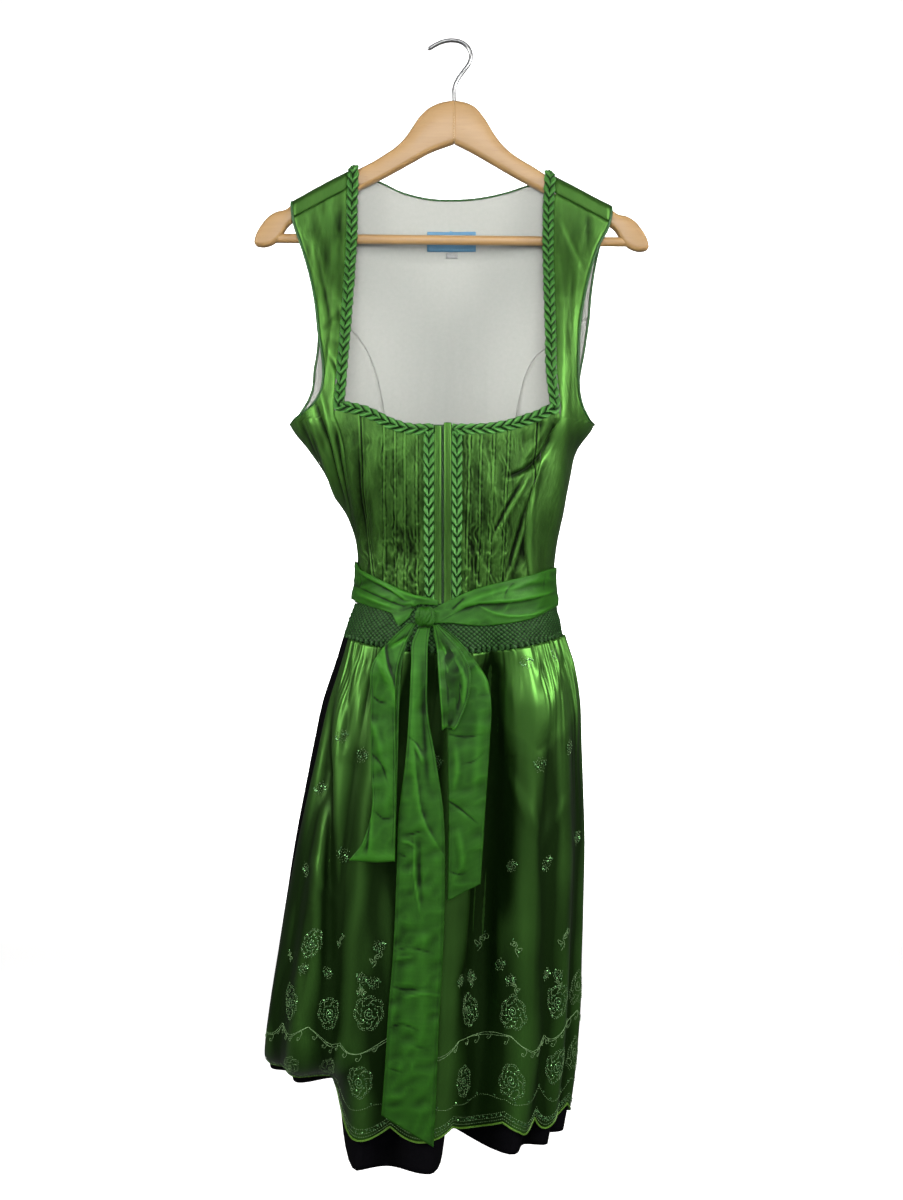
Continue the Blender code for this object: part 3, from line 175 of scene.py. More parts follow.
def creaseField(x, down, creases):
    # sum of creases, each (height, width, its kind if it isn't plain, x, down, x, down ...), fading
    # at both ends: a plain one is a bell across the line; a sharp one a pointed bell; a step jumps
    # up on the side to the left of the line's downward run and sinks back over 14 mm
    total = np.zeros(np.shape(x))
    place = np.stack([x, down], -1)[..., None, :]
    for height, width, *path in creases:
        kind = path.pop(0) if isinstance(path[0], str) else "plain"
        path = np.array(path, float).reshape(-1, 2)
        path = smoothLine(path, 9) if len(path) > 2 else path
        start, way = path[:-1], np.diff(path, axis=0)
        length = np.linalg.norm(way, axis=1)
        t = np.clip(((place - start) * way).sum(-1) / length**2, 0, 1)
        apart = place - start - way * t[..., None]
        away = np.linalg.norm(apart, axis=-1)
        k = away.argmin(axis=-1)[..., None]
        near = np.take_along_axis(away, k, -1)[..., 0]
        along = (np.concatenate([[0], np.cumsum(length)])[:-1] + t * length) / length.sum()
        along = np.take_along_axis(along, k, -1)[..., 0]
        fade = np.sin(np.pi * np.clip(along, 0.02, 0.98)) ** 0.6
        if kind == "sharp":
            shape = np.exp(-np.sqrt(near**2 + 0.1) / width)
        elif kind == "step":
            side = way[:, 0] * apart[..., 1] - way[:, 1] * apart[..., 0]
            side = np.sign(np.take_along_axis(side, k, -1)[..., 0]) * near
            shape = np.exp(-np.maximum(side, 0) / 14) / (1 + np.exp(-side / width))
            shape = shape * np.exp(-np.maximum(-side, 0) / 3)
        else:
            shape = bump(near, width)
        total = total + height * shape * fade
    return total


# the form of the dress
def crest(x):
    # the line over the shoulders: a slope on each side
    left, right = [dress[key][1] + side * (x - dress[key][0]) * dress[key][2]
                   for key, side in (("crestLeft", -1), ("crestRight", 1))]
    return np.where(x < 0, left, right)


def girthAt(drop):
    left, right, front, back = [track(dress["girth"], k, drop) for k in (1, 2, 3, 4)]
    return (left + right) / 2, (right - left) / 2, front, back


def angleOf(x, drop, front=True):
    # angle round the body of a point given by its x; 0 is the front, pi the back
    centre, half, _, _ = girthAt(drop)
    angle = np.arcsin(np.clip((x - centre) / half, -1, 1))
    return angle if front else np.pi - angle


def foldRidges(drop):
    low = ease((np.asarray(drop, float)[..., None] - dress["waist"]) / (dress["hem"] - dress["waist"]))
    waist, hem = [np.array([fold[k] for fold in dress["folds"]], float) for k in (0, 1)]
    ridges = mix(waist, hem, low)
    return np.concatenate([ridges, ridges[..., :1] + 360], -1)


def foldAngles(first, last, drop, columns):
    # angles of the grid columns in each row, the same number in every fold
    ridges = foldRidges(drop)
    column = np.arange((last - first) * columns + 1)
    fold = np.minimum(first + column // columns, last - 1)
    share = (column - (fold - first) * columns) / columns
    return np.radians(mix(ridges[..., fold], ridges[..., fold + 1], share))


def foldInset(angle, drop, skirtShare):
    # how far the cloth lies inside its ridges: a cosine dip between each two ridges
    ridges = foldRidges(drop)
    turn = np.degrees(angle)
    turn = (turn - ridges[..., 0] + 1e-6) % 360 + ridges[..., 0] - 1e-6
    i = np.clip((turn[..., None] >= ridges).sum(axis=-1) - 1, 0, len(dress["folds"]) - 1)
    start, end = [np.take_along_axis(ridges, (i + k)[..., None], -1)[..., 0] for k in (0, 1)]
    share = (turn - start) / (end - start)
    hip, hem, more = [np.array([fold[k] for fold in dress["folds"]], float)[i] for k in (2, 3, 4)]
    depth = (hip + (hem - hip) * ease((drop - 780) / 440)) * ease((drop - 642) / 100)
    late = ease((drop - 800) / 400) * skirtShare
    return (depth + more * late) * (1 - np.cos(2 * np.pi * share)) / 2


def body(angle, drop, skirtShare=0.0):
    # a point of the dress's outer face: an oval at each height, bent over the hanger at the
    # shoulders, drawn in by the skirt's folds, its lower left leaning back
    angle, drop = np.broadcast_arrays(np.asarray(angle, float), np.asarray(drop, float))
    centre, half, front, back = girthAt(drop)
    across, ahead = np.sin(angle), np.cos(angle)
    x = centre + half * across
    belowCrest = np.maximum(drop - crest(x), 0)
    depth = np.where(ahead >= 0, front, back)
    roundDepth = depth * np.abs(ahead) * (1 + 0.15 * across**2)
    roll = dress["rollRadius"]
    rollDepth = np.sqrt(roll**2 - np.clip(roll - belowCrest, 0, roll) ** 2) * np.minimum(1, np.abs(ahead) * 4)
    y = -np.where(ahead >= 0, 1.0, -1.0) * mix(rollDepth, roundDepth, ease(belowCrest / dress["strapRun"]))
    inset = foldInset(angle, drop, skirtShare)
    wayX, wayY = across / half, -ahead / np.maximum(depth, 1)
    length = np.hypot(wayX, wayY)
    x, y = x - inset * wayX / length, y - inset * wayY / length
    lean = dress["leanAngle"] * within(-np.degrees(angle) % 360, 18, 15, 155, 45)
    past = np.maximum(drop - dress["leanFrom"], 0)
    bend = np.minimum(past / dress["leanRadius"], lean)
    straight = past - bend * dress["leanRadius"]
    y = y + dress["leanRadius"] * (1 - np.cos(bend)) + straight * np.sin(bend)
    z = -drop + past - dress["leanRadius"] * np.sin(bend) - straight * np.cos(bend)
    return np.stack([x, y, z], -1)


def outward(angle, drop, skirtShare=0.0):
    # the outward unit normal of the dress's face; over the hanger it turns with the roll
    angle, drop = np.broadcast_arrays(np.asarray(angle, float), np.asarray(drop, float))
    roundWay = body(angle + 0.004, drop, skirtShare) - body(angle - 0.004, drop, skirtShare)
    normal = np.cross(body(angle, drop + 1, skirtShare) - body(angle, drop - 1, skirtShare), roundWay)
    centre, half, _, _ = girthAt(drop)
    x = centre + half * np.sin(angle)
    belowCrest = drop - crest(x)
    side = np.where(np.cos(angle) >= 0, 1.0, -1.0)
    slope = np.where(x < 0, -dress["crestLeft"][2], dress["crestRight"][2])
    roll = np.arccos(np.clip(1 - belowCrest / dress["rollRadius"], -1, 1))
    over = np.stack([slope * np.cos(roll), -side * np.sin(roll), np.cos(roll)], -1)
    return unitWays(np.where((belowCrest < dress["rollRadius"] + 1)[..., None], over, normal))


def bodyGrid(angle, drop, lift=0.0, skirtShare=0.0):
    # a grid on the dress's face, lifted along its normals
    angle, drop = np.broadcast_arrays(angle, drop)
    return body(angle, drop, skirtShare) + outward(angle, drop, skirtShare) * np.asarray(lift)[..., None]


def gridNormals(points):
    # unit normals of a grid from its own rows and columns
    return unitWays(np.cross(np.gradient(points, axis=0), np.gradient(points, axis=1)))


def arcPlaces(points):
    # arc length across and arc length down at each point of a grid
    down = np.concatenate([np.zeros((1, points.shape[1])), np.cumsum(steps(points), axis=0)])
    across = np.concatenate([np.zeros((points.shape[0], 1)), np.cumsum(steps(points, 1), axis=1)], axis=1)
    return across, down


# materials: a value that is a socket is linked, any other is set
def feed(made, **values):
    for key, value in values.items():
        socket = made.inputs.get(key.replace("_", " "))
        if isinstance(value, bpy.types.NodeSocket):
            made.id_data.links.new(value, socket)
        elif socket is not None:
            socket.default_value = value
        else:
            setattr(made, key, value)
    return made


def node(nodes, kind, **values):
    return feed(nodes.new("ShaderNode" + kind), **values)


def newMaterial(name, colour, roughness, metallic=0.0, **sockets):
    material = bpy.data.materials.new(name)
    material.use_nodes = True
    material.diffuse_color = (*colour, 1)
    nodes = material.node_tree.nodes
    sockets.update(Base_Color=(*colour, 1), Roughness=roughness, Metallic=metallic)
    return material, nodes, feed(nodes["Principled BSDF"], **sockets)


def noise(nodes, scale, detail=2.0, uvName=None, **values):
    # noise on the piece's own cloth map, or on Object coordinates, scaled per axis
    if uvName:
        place = node(nodes, "UVMap", uv_map=uvName).outputs["UV"]
    else:
        place = node(nodes, "TexCoord").outputs["Object"]
    place = node(nodes, "Mapping", Vector=place, Scale=scale).outputs["Vector"]
    return node(nodes, "TexNoise", Vector=place, Scale=1.0, Detail=detail, **values).outputs["Fac"]


def colourMix(nodes, amount, colourA, colourB):
    ends = [value if isinstance(value, bpy.types.NodeSocket) else (*value, 1) for value in (colourA, colourB)]
    return node(nodes, "Mix", data_type="RGBA", Factor=amount, A=ends[0], B=ends[1]).outputs["Result"]


def bumped(nodes, height, strength, distance, **after):
    return node(nodes, "Bump", Height=height, Strength=strength, Distance=distance, **after).outputs["Normal"]


def clothMaterial(name, dark, light, roughness, metallic, crinkle, streak, weave=0.35, depth=0.7,
                  specular=0.5):
    # dyed cloth: two shades mixed by slub streaks, with painted shade in the hollows of its folds and painted
    # light on its ridges, and crinkles and a fine weave as bump
    material, nodes, shader = newMaterial(name, light, roughness, metallic, Specular_IOR_Level=specular)
    slubs = colourMix(nodes, noise(nodes, streak, 3.0, "cloth", Roughness=0.6), dark, light)
    # painted shade: a per-point value darkens the colour in the hollows and lightens it on the ridges
    hollow = node(nodes, "Attribute", attribute_name="hollow").outputs["Fac"]
    shadeValue = node(nodes, "MapRange", Value=hollow, From_Min=-0.6, From_Max=0.6, To_Min=1 + depth * 0.55,
                To_Max=1 - depth)
    shaded = node(nodes, "HueSaturation", Value=shadeValue.outputs["Result"], Color=slubs)
    soft = bumped(nodes, noise(nodes, crinkle[:3], 4.0, "cloth", Roughness=0.62), crinkle[3], 0.0012)
    woven = bumped(nodes, noise(nodes, (1500, 420, 1), 2.0, "cloth"), weave, 0.0002, Normal=soft)
    feed(shader, Base_Color=shaded.outputs["Color"], Normal=woven)
    return material


def makeBeech():
    # varnished beech: long grain streaks and short rays along x, under a clear coat
    material, nodes, shader = newMaterial("beech", (0.62, 0.38, 0.20), 0.42, Coat_Weight=0.2,
                                          Coat_Roughness=0.18)
    grains = noise(nodes, (14, 160, 160), 5.0, Roughness=0.6, Distortion=0.4)
    rays = noise(nodes, (120, 900, 900))
    rays = node(nodes, "MapRange", Value=rays, From_Min=0.62, From_Max=0.75, To_Max=0.35)
    wood = colourMix(nodes, grains, (0.208, 0.118, 0.043), (0.294, 0.182, 0.072))
    feed(shader, Base_Color=colourMix(nodes, rays.outputs["Result"], wood, (0.20, 0.093, 0.033)),
         Normal=bumped(nodes, grains, 0.12, 0.0005))
    return material


def makeChrome():
    # bright plating with faint handling scratches
    material, nodes, shader = newMaterial("chrome", (0.43, 0.435, 0.44), 0.28, 1.0)
    rough = node(nodes, "MapRange", Value=noise(nodes, (300, 300, 900), 3.0), To_Min=0.24, To_Max=0.40)
    feed(shader, Roughness=rough.outputs["Result"])
    return material


def makeThread(name, dark, light, roughness, metallic):
    # embroidery thread: two close shades along the stitches
    material, nodes, shader = newMaterial(name, light, roughness, metallic)
    feed(shader, Base_Color=colourMix(nodes, noise(nodes, (700, 700, 700), 1.0), dark, light))
    return material


# slot; dark and light shade, roughness, metallic, crinkle scales and strength, streak scales, weave strength,
# depth of the painted shade in the hollows and of the painted light on the ridges, specular level
cloths = {
    "bodiceSatin": ("satin_green", (0.038, 0.118, 0.018), (0.074, 0.190, 0.034), 0.43, 0.82,
                    (260, 80, 1, 0.55), (60, 9, 1), 0.35, 0.85, 0.35),
    "panelSatin": ("satin_green", (0.028, 0.088, 0.013), (0.056, 0.146, 0.025), 0.42, 0.82,
                   (420, 110, 1, 0.85), (90, 14, 1), 0.35, 0.9, 0.35),
    "apronSatin": ("apron_green", (0.044, 0.135, 0.022), (0.066, 0.175, 0.032), 0.40, 0.84,
                   (26, 9, 1, 0.12), (30, 3, 1), 0.35, 0.7, 0.35),
    "taffeta": ("taffeta_green", (0.0155, 0.086, 0.005), (0.0265, 0.117, 0.009), 0.50, 0.25,
                (70, 30, 1, 0.45), (20, 260, 1), 0.6, 0.85, 0.2),
    "trimSatin": ("trim_green", (0.022, 0.086, 0.016), (0.046, 0.150, 0.028), 0.45, 0.45,
                  (200, 200, 1, 0.3), (90, 30, 1), 0.35, 0.85, 0.3),
    "bandSatin": ("band_green", (0.007, 0.032, 0.005), (0.019, 0.068, 0.013), 0.44, 0.45,
                  (200, 200, 1, 0.3), (90, 90, 1), 0.35, 0.85, 0.3),
    "piping": ("piping_green", (0.012, 0.055, 0.012), (0.022, 0.090, 0.018), 0.5, 0.1,
               (300, 300, 1, 0.2), (90, 90, 1)),
    "lining": ("lining_white", (0.240, 0.249, 0.231), (0.278, 0.284, 0.262), 0.8, 0.0,
               (45, 14, 1, 0.2), (240, 240, 1), 0.5, 0.45),
    "skirtCloth": ("skirt_black", (0.0008, 0.0008, 0.0012), (0.0019, 0.0017, 0.0025), 0.9, 0.0,
                   (60, 20, 1, 0.25), (200, 200, 1), 0.5, 0.7, 0.06),
    "labelBlue": ("label_blue", (0.048, 0.150, 0.262), (0.076, 0.196, 0.309), 0.6, 0.0,
                  (300, 300, 1, 0.15), (1200, 300, 1), 0.6),
    "tabWhite": ("tab_white", (0.200, 0.206, 0.204), (0.262, 0.264, 0.258), 0.7, 0.0,
                 (300, 300, 1, 0.15), (1200, 300, 1), 0.6),
}
threadLooks = {
    "thread": ("apron_green", (0.085, 0.19, 0.060), (0.25, 0.40, 0.18), 0.5, 0.1),
    "edgeThread": ("apron_green", (0.045, 0.13, 0.010), (0.11, 0.24, 0.022), 0.5, 0.1),
    "sequin": ("apron_green", (0.07, 0.22, 0.07), (0.24, 0.50, 0.20), 0.26, 0.8),
    "zipMetal": ("piping_green", (0.02, 0.05, 0.02), (0.05, 0.10, 0.04), 0.35, 0.3),
}
finish = {name: clothMaterial(name, *values) for name, (_, *values) in cloths.items()}
finish.update({name: makeThread(name, *values) for name, (_, *values) in threadLooks.items()})
finish.update(beech=makeBeech(), chrome=makeChrome())
slots = {name: values[0] for name, values in (cloths | threadLooks).items()}
slots.update(beech="beech", chrome="chrome")
print("finishes made:", len(finish))


# mesh makers
def meshPiece(name, points, faces, look, uv=None, smooth=True, numbers=None):
    # a mesh from whole arrays: points in millimetres, faces as rows of 3 or 4 corners, in one
    # array or in groups, each group with its own smoothness and number of material
    mesh = bpy.data.meshes.new(name)
    groups = [np.asarray(group, np.int32) for group in (faces if isinstance(faces, list) else [faces])]
    smooth = smooth if isinstance(smooth, tuple) else (smooth,) * len(groups)
    corners = np.concatenate([group.ravel() for group in groups])
    corneredBy = np.concatenate([np.full(len(group), group.shape[1], np.int32) for group in groups])
    mesh.vertices.add(len(points))
    mesh.vertices.foreach_set("co", (np.asarray(points, float) * mm).astype(np.float32).ravel())
    mesh.loops.add(len(corners))
    mesh.loops.foreach_set("vertex_index", corners)
    mesh.polygons.add(len(corneredBy))
    mesh.polygons.foreach_set("loop_start", np.cumsum(corneredBy, dtype=np.int32) - corneredBy)
    for key, values in (("use_smooth", smooth), ("material_index", numbers or (0,) * len(groups))):
        mesh.polygons.foreach_set(key, np.concatenate([np.full(len(group), value, np.int32)
                                                       for group, value in zip(groups, values)]))
    uv = np.asarray(points)[:, [0, 2]] * mm if uv is None else uv
    mesh.uv_layers.new(name="cloth").data.foreach_set("uv", np.asarray(uv, np.float32)[corners].ravel())
    mesh.update(calc_edges=True)
    mesh.validate()
    mesh.materials.append(finish[look])
    piece = bpy.data.objects.new(name, mesh)
    bpy.context.scene.collection.objects.link(piece)
    return piece


def gridFaces(rows, columns, wrap=False):
    corner = np.arange(rows * columns).reshape(rows, columns)
    if wrap:
        corner = np.concatenate([corner, corner[:, :1]], axis=1)
    return np.stack([corner[:-1, :-1], corner[1:, :-1], corner[1:, 1:], corner[:-1, 1:]], -1).reshape(-1, 4)


def hollowShades(points, reaches=(1, 3, 9)):
    # how hollow the cloth is at each grid point: the mean of its neighbours' heights above it, measured along
    # the normal as a share of their distance, summed over a few reaches; it is painted as shade in the
    # hollows and as light on the ridges
    normals = gridNormals(points)
    total = np.zeros(points.shape[:2])
    for reach in reaches:
        if reach * 2 >= min(points.shape[:2]):
            continue
        wide = np.pad(points, ((reach, reach), (reach, reach), (0, 0)), "reflect", reflect_type="odd")
        for pair in ((wide[:-2 * reach, reach:-reach], wide[2 * reach:, reach:-reach]),
                     (wide[reach:-reach, :-2 * reach], wide[reach:-reach, 2 * reach:])):
            spacing = np.linalg.norm(pair[0] - pair[1], axis=-1) / 2 + 0.3
            total += (((pair[0] + pair[1]) / 2 - points) * normals).sum(-1) / spacing
    return np.clip(total, -1, 1)


def nodeName(name):
    return "".join("_" + letter.lower() if letter.isupper() else letter for letter in name)


def ride(piece, nodes=None):
    # it stands for the node of its own name, or for the nodes given
    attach(piece, "root")
    nodes = [nodeName(piece.name)] if nodes is None else nodes
    if nodes:
        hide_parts(*nodes)


def thicken(piece, wall):
    # a wall of cloth behind the shown face
    solid = piece.modifiers.new("wall", "SOLIDIFY")
    solid.thickness = wall * mm
    solid.offset = -1
    solid.use_even_offset = False


def innerSide(points, wall, step):
    # the inner side of a wall of cloth as a coarser grid, sunk where the shown side dips between
    # its points, and the narrow triangles that close the border between both sides
    size = points.shape[:2]
    downPicks, acrossPicks = [np.rint(np.linspace(0, count - 1, (count - 1) // step + 1)).astype(int)
                              for count in size]
    normals = gridNormals(points)[downPicks][:, acrossPicks]
    picked = points[downPicks][:, acrossPicks]
    sink = np.zeros(picked.shape[:2])
    for i in range(-step, step + 1):
        for j in range(-step, step + 1):
            near = points[np.clip(downPicks + i, 0, size[0] - 1)][:, np.clip(acrossPicks + j, 0, size[1] - 1)]
            sink = np.minimum(sink, ((near - picked) * normals).sum(-1))
    sink = np.maximum(sink, -2.5)
    sink[[0, -1]] = 0
    sink[:, [0, -1]] = 0
    inner = picked + normals * (sink - wall)[..., None]
    fine = np.arange(size[0] * size[1]).reshape(size)
    coarse = fine.size + np.arange(inner.shape[0] * inner.shape[1]).reshape(inner.shape[:2])
    rims = []
    for edge, innerEdge, picks, turned in ((fine[0], coarse[0], acrossPicks, 1),
                                           (fine[-1], coarse[-1], acrossPicks, -1),
                                           (fine[:, 0], coarse[:, 0], downPicks, -1),
                                           (fine[:, -1], coarse[:, -1], downPicks, 1)):
        belongs = np.searchsorted(picks, np.arange(len(edge) - 1), "right") - 1
        rims += [np.stack([edge[:-1], edge[1:], innerEdge[belongs]], -1)[:, ::turned],
                 np.stack([edge[picks[1:]], innerEdge[1:], innerEdge[:-1]], -1)[:, ::turned]]
    faces = gridFaces(*inner.shape[:2])[:, ::-1] + fine.size
    return inner, faces, np.concatenate(rims), (downPicks, acrossPicks)


def sew(grids):
    widths, lengths, areas = [], [], []
    for points in grids:
        lengths.append(steps(points).sum(axis=0).max() * mm)
        widths.append(steps(points, 1).sum(axis=1).max() * mm)
        a, b = points[1:, 1:] - points[:-1, :-1], points[1:, :-1] - points[:-1, 1:]
        areas.append(np.linalg.norm(np.cross(a, b), axis=-1).sum() / 2 * mm * mm)
    area = sum(areas)
    length = max(sum(lengths[:2]), area / max(widths), 0.0102)
    width = max(*widths, 0.0102)
    area = min(max(area, 0.301 * width * length), width * length)


def sheetPiece(name, points, look, nodes=None, wall=dress["cloth"], lined=False, inside=None,
               reaches=(1, 3, 9), shade=0.0, step=3):
    # a wall of cloth on a grid of points whose normals look away from the point inside; its hollows get
    # painted shade and its ridges painted light, shade adds more painted shade (below 0 it paints light),
    # step is how much coarser its inner side is
    grid = points
    if inside is not None and ((points - np.asarray(inside)) * gridNormals(points)).sum() < 0:
        points = points[:, ::-1]
        shade = shade if np.ndim(shade) == 0 else shade[:, ::-1]
    size = points.shape[:2]
    depth = np.clip(hollowShades(points, reaches) + shade, -1, 1).ravel()
    u, v = arcPlaces(points)
    uv = np.stack([u - u[:, -1:] / 2, v], -1) * mm
    if step > 1:
        back, backFaces, rims, (downPicks, acrossPicks) = innerSide(points, wall, step)
        uv = np.concatenate([uv.reshape(-1, 2), uv[downPicks][:, acrossPicks].reshape(-1, 2)])
        piece = meshPiece(name, np.concatenate([points.reshape(-1, 3), back.reshape(-1, 3)]),
                          [gridFaces(*size), backFaces, rims], look, uv, (True, True, False),
                          (0, int(lined), 0))
        depth = np.concatenate([depth, np.zeros(back.shape[0] * back.shape[1])])
        if lined:
            piece.data.materials.append(finish["lining"])
    else:
        piece = meshPiece(name, points.reshape(-1, 3), gridFaces(*size), look, uv.reshape(-1, 2))
        thicken(piece, wall)
    # painted shade and light per point, read by the cloth material
    piece.data.attributes.new("hollow", "FLOAT", "POINT").data.foreach_set("value", depth.astype(np.float32))
    ride(piece, nodes)
    sew([grid])


def tubeAlong(path, normal, radius, sideCount, closed=False):
    # points and faces of a round tube: a circle in the plane across the path at each station
    path, normal = np.asarray(path, float), np.asarray(normal, float)
    ahead = unitWays(np.roll(path, -1, 0) - np.roll(path, 1, 0) if closed else np.gradient(path, axis=0))
    side = unitWays(np.cross(ahead, normal))
    up = np.cross(side, ahead)
    turn = np.linspace(0, 2 * np.pi, sideCount, endpoint=False)
    ring = side[:, None] * np.cos(turn)[None, :, None] + up[:, None] * np.sin(turn)[None, :, None]
    points = path[:, None] + ring * np.broadcast_to(radius, len(path))[:, None, None]
    faces = gridFaces(len(path), sideCount, wrap=True)
    if closed:
        first = np.arange(sideCount)
        last = first + (len(path) - 1) * sideCount
        joint = np.stack([last, first, np.roll(first, -1), np.roll(last, -1)], -1)
        faces = np.concatenate([faces, joint])
    return points.reshape(-1, 3), faces


def scatter(unit, faces, places, along, normal, size):
    # copies of a small shape: unit points turned by each place's own along, side and normal
    along = unitWays(along)
    side = unitWays(np.cross(normal, along))
    normal = np.cross(along, side)
    unit = np.asarray(unit, float) * np.asarray(size)
    points = (places[:, None] + along[:, None] * unit[None, :, :1] + side[:, None] * unit[None, :, 1:2]
              + normal[:, None] * unit[None, :, 2:])
    shift = (np.arange(len(places)) * len(unit))[:, None, None]
    allFaces = (np.asarray(faces)[None] + shift).reshape(-1, np.asarray(faces).shape[1])
    return points.reshape(-1, 3), allFaces


def grain(sideCount, rings):
    # a small rounded grain: rings of points between two ends, as a closed shape of 4-sided faces
    tilt = np.linspace(0, np.pi, rings + 2)[:, None]
    turn = np.linspace(0, 2 * np.pi, sideCount, endpoint=False)[None, :]
    points = np.stack([-np.cos(tilt) + 0 * turn, np.sin(tilt) * np.cos(turn), np.sin(tilt) * np.sin(turn)],
                      -1)
    points[0, :, 1:] *= 0.02
    return points.reshape(-1, 3), gridFaces(rings + 2, sideCount, wrap=True)[:, ::-1]


def closedPiece(name, points, faces, look, nodes=None):
    # a solid piece: open rims filled, doubled points joined and every face turned outwards
    piece = meshPiece(name, points, faces, look)
    work = bmesh.new()
    work.from_mesh(piece.data)
    bmesh.ops.remove_doubles(work, verts=work.verts, dist=1e-6)
    rim = [edge for edge in work.edges if edge.is_boundary]
    if rim:
        bmesh.ops.holes_fill(work, edges=rim, sides=0)
    bmesh.ops.recalc_face_normals(work, faces=work.faces)
    work.to_mesh(piece.data)
    work.free()
    piece.data.shade_smooth()
    piece.data.set_sharp_from_angle(angle=math.radians(42))
    ride(piece, nodes)


# the hanger: two rounded arms, the trouser bar between them, the hook
hanger = {
    "centre": 3.1, "armThickness": 14.4, "armRounding": 6.2, "topClearance": 4.3,
    "topLeft": [(-13, 69.3), (-24.4, 74.4), (-35.7, 84.5), (-46, 99.5), (-52.7, 109), (-61, 117.5),
                (-75.3, 127.5), (-91, 137)],
    "topRight": [(17, 69.3), (25, 73), (36.3, 85.4), (48.5, 105), (55.5, 114.5), (63.6, 122.8),
                 (79, 133.8), (93, 142)],
    "bar": ((-213, 0, -221.5), (213, 0, -226.0)), "barRadius": 5.3, "hookRadius": 2.25,
    "hook": [(3.1, -83), (3.1, -66), (3.1, -52), (6.2, -43.5), (13.5, -33), (20, -23.5), (22, -15),
             (18.6, -6), (10.5, 0.2), (0, 2.0), (-10, 0.4), (-19, -3.6), (-27, -8.6)],
    "tip": [(188, 190), (197, 192), (206, 197), (214, 206), (220.5, 217), (223, 226)],
    "under": [(24, 125), (45, 136.5), (75, 153), (103, 167), (150, 190), (184, 208), (196, 225),
              (204, 230), (214, 232), (221, 230), (223, 226.4)],
}


def armGrid(title, side):
    # stations along the arm; each section is a rounded rectangle between the top and bottom lines
    tipDrop = 5.0 if side > 0 else 0.0
    start = hanger["centre"] * side + 0.03
    top = [(start, 66.4), *[(x * side, drop) for x, drop in hanger["top" + title]],
           *[(x, float(crest(x * side)) + hanger["topClearance"]) for x in (104, 130, 156, 180)],
           *[(x, drop + tipDrop) for x, drop in hanger["tip"]]]
    bottom = [(start, 115.0), *[(x, drop + tipDrop * min(1, x / 184)) for x, drop in hanger["under"]]]
    share = np.concatenate([np.linspace(0, 0.88, 90)[:-1],
                            0.88 + 0.12 * np.sin(np.linspace(0, np.pi / 2, 40))])
    upper, lower = smoothLine(top, at=share), smoothLine(bottom, at=share)
    middle, reach = (upper + lower) / 2, (lower - upper) / 2
    half = np.maximum(np.linalg.norm(reach, axis=1), 0.05)
    way = reach / half[:, None]
    turn = (np.arange(32) + 0.5) * 2 * np.pi / 32
    thick = hanger["armThickness"] / 2 * np.minimum(1, np.sqrt(half / 7))
    corner = np.minimum(np.minimum(hanger["armRounding"], half), thick)
    v, y = [np.sign(wave) * (size - corner)[:, None] + corner[:, None] * wave
            for wave, size in ((np.cos(turn), half), (np.sin(turn), thick))]
    points = np.stack([(middle[:, :1] + way[:, :1] * v) * side, y, -(middle[:, 1:] + way[:, 1:] * v)], -1)
    # the meeting faces have a small chamfer, which shows as the joint line
    chamfer = points[0] * 0.965 + points[0].mean(axis=0) * 0.035
    points[0] = points[0] + [0.5 * side, 0, 0]
    return np.concatenate([[chamfer], points])


for label, title, side in sides:
    rings = armGrid(title, side)
    # a fan of four-sided faces draws each end shut
    first, last = [ring.mean(axis=0) * 0.98 + ring * 0.02 for ring in (rings[0], rings[-1])]
    rings = np.stack([first, (first + rings[0]) / 2, *rings, (last + rings[-1]) / 2, last])
    closedPiece("hangerArm" + title, rings.reshape(-1, 3), gridFaces(*rings.shape[:2], wrap=True), "beech")
barLine = np.linspace(*hanger["bar"], 60)
closedPiece("trouserBar", *tubeAlong(barLine, np.tile([0, 1.0, 0], (60, 1)), hanger["barRadius"], 32),
            "beech", ["hanger_bar"])
hookStations = 140
hookLine = smoothLine(hanger["hook"], hookStations)
hookWide = np.full(hookStations, hanger["hookRadius"])
hookWide[-6:] = hanger["hookRadius"] * np.sqrt(1 - np.linspace(0, 0.98, 6) ** 2)
hookLine = np.stack([hookLine[:, 0], np.zeros(hookStations), hookLine[:, 1]], -1)
closedPiece("hangerHook", *tubeAlong(hookLine, np.tile([0, 1.0, 0], (hookStations, 1)), hookWide, 20),
            "chrome")
print("hanger made")


# the bodice: sizes shared by its pieces
bodice = {"rucheHalf": 6.3, "frontRucheHalf": 5.2, "rucheLeft": -24.0, "rucheRight": 5.7,
          "seamPull": 0.6, "seamWide": 1.5, "upperRows": 120, "lowerRows": 110, "sideColumns": 66}


def between(left, right, columns, front=True, straight=0.0):
    # angles and drops of a grid whose rows join two edge lines; a row is spaced evenly round the
    # body, or evenly along x where straight is 1
    share = alongRow(columns)
    x, drop = [mix(left[:, k][:, None], right[:, k][:, None], share) for k in (0, 1)]
    first, last = [angleOf(*edge.T, front)[:, None] for edge in (left, right)]
    straight = np.broadcast_to(straight, len(left))[:, None]
    return mix(mix(first, last, share), angleOf(x, drop, front), straight), drop


def edgeDip(grid, dipped=(True, False, True, True)):
    # the cloth turns down into its seams: a dip near the chosen edges (first row, last row,
    # first column, last column), by distance in millimetres
    u, v = arcPlaces(grid)
    away = np.full(grid.shape[:2], 1e3)
    for use, distance in zip(dipped, (v, v[-1:] - v, u, u[:, -1:] - u)):
        away = np.minimum(away, distance) if use else away
    return -bodice["seamPull"] * bump(away, bodice["seamWide"])


def awayFade(dip):
    # 0 in the seam, 1 away from it
    return 1 - np.clip(-dip / bodice["seamPull"], 0, 1)


def seamAt(title, drop):
    # x of the princess seam in front
    return track([(down, x) for x, down in seams["princess" + title]], 1, drop)


def sideLine(side, drop):
    # x and drop along the side of the body
    centre, half, _, _ = girthAt(drop)
    return np.stack([centre + side * half, drop], -1)


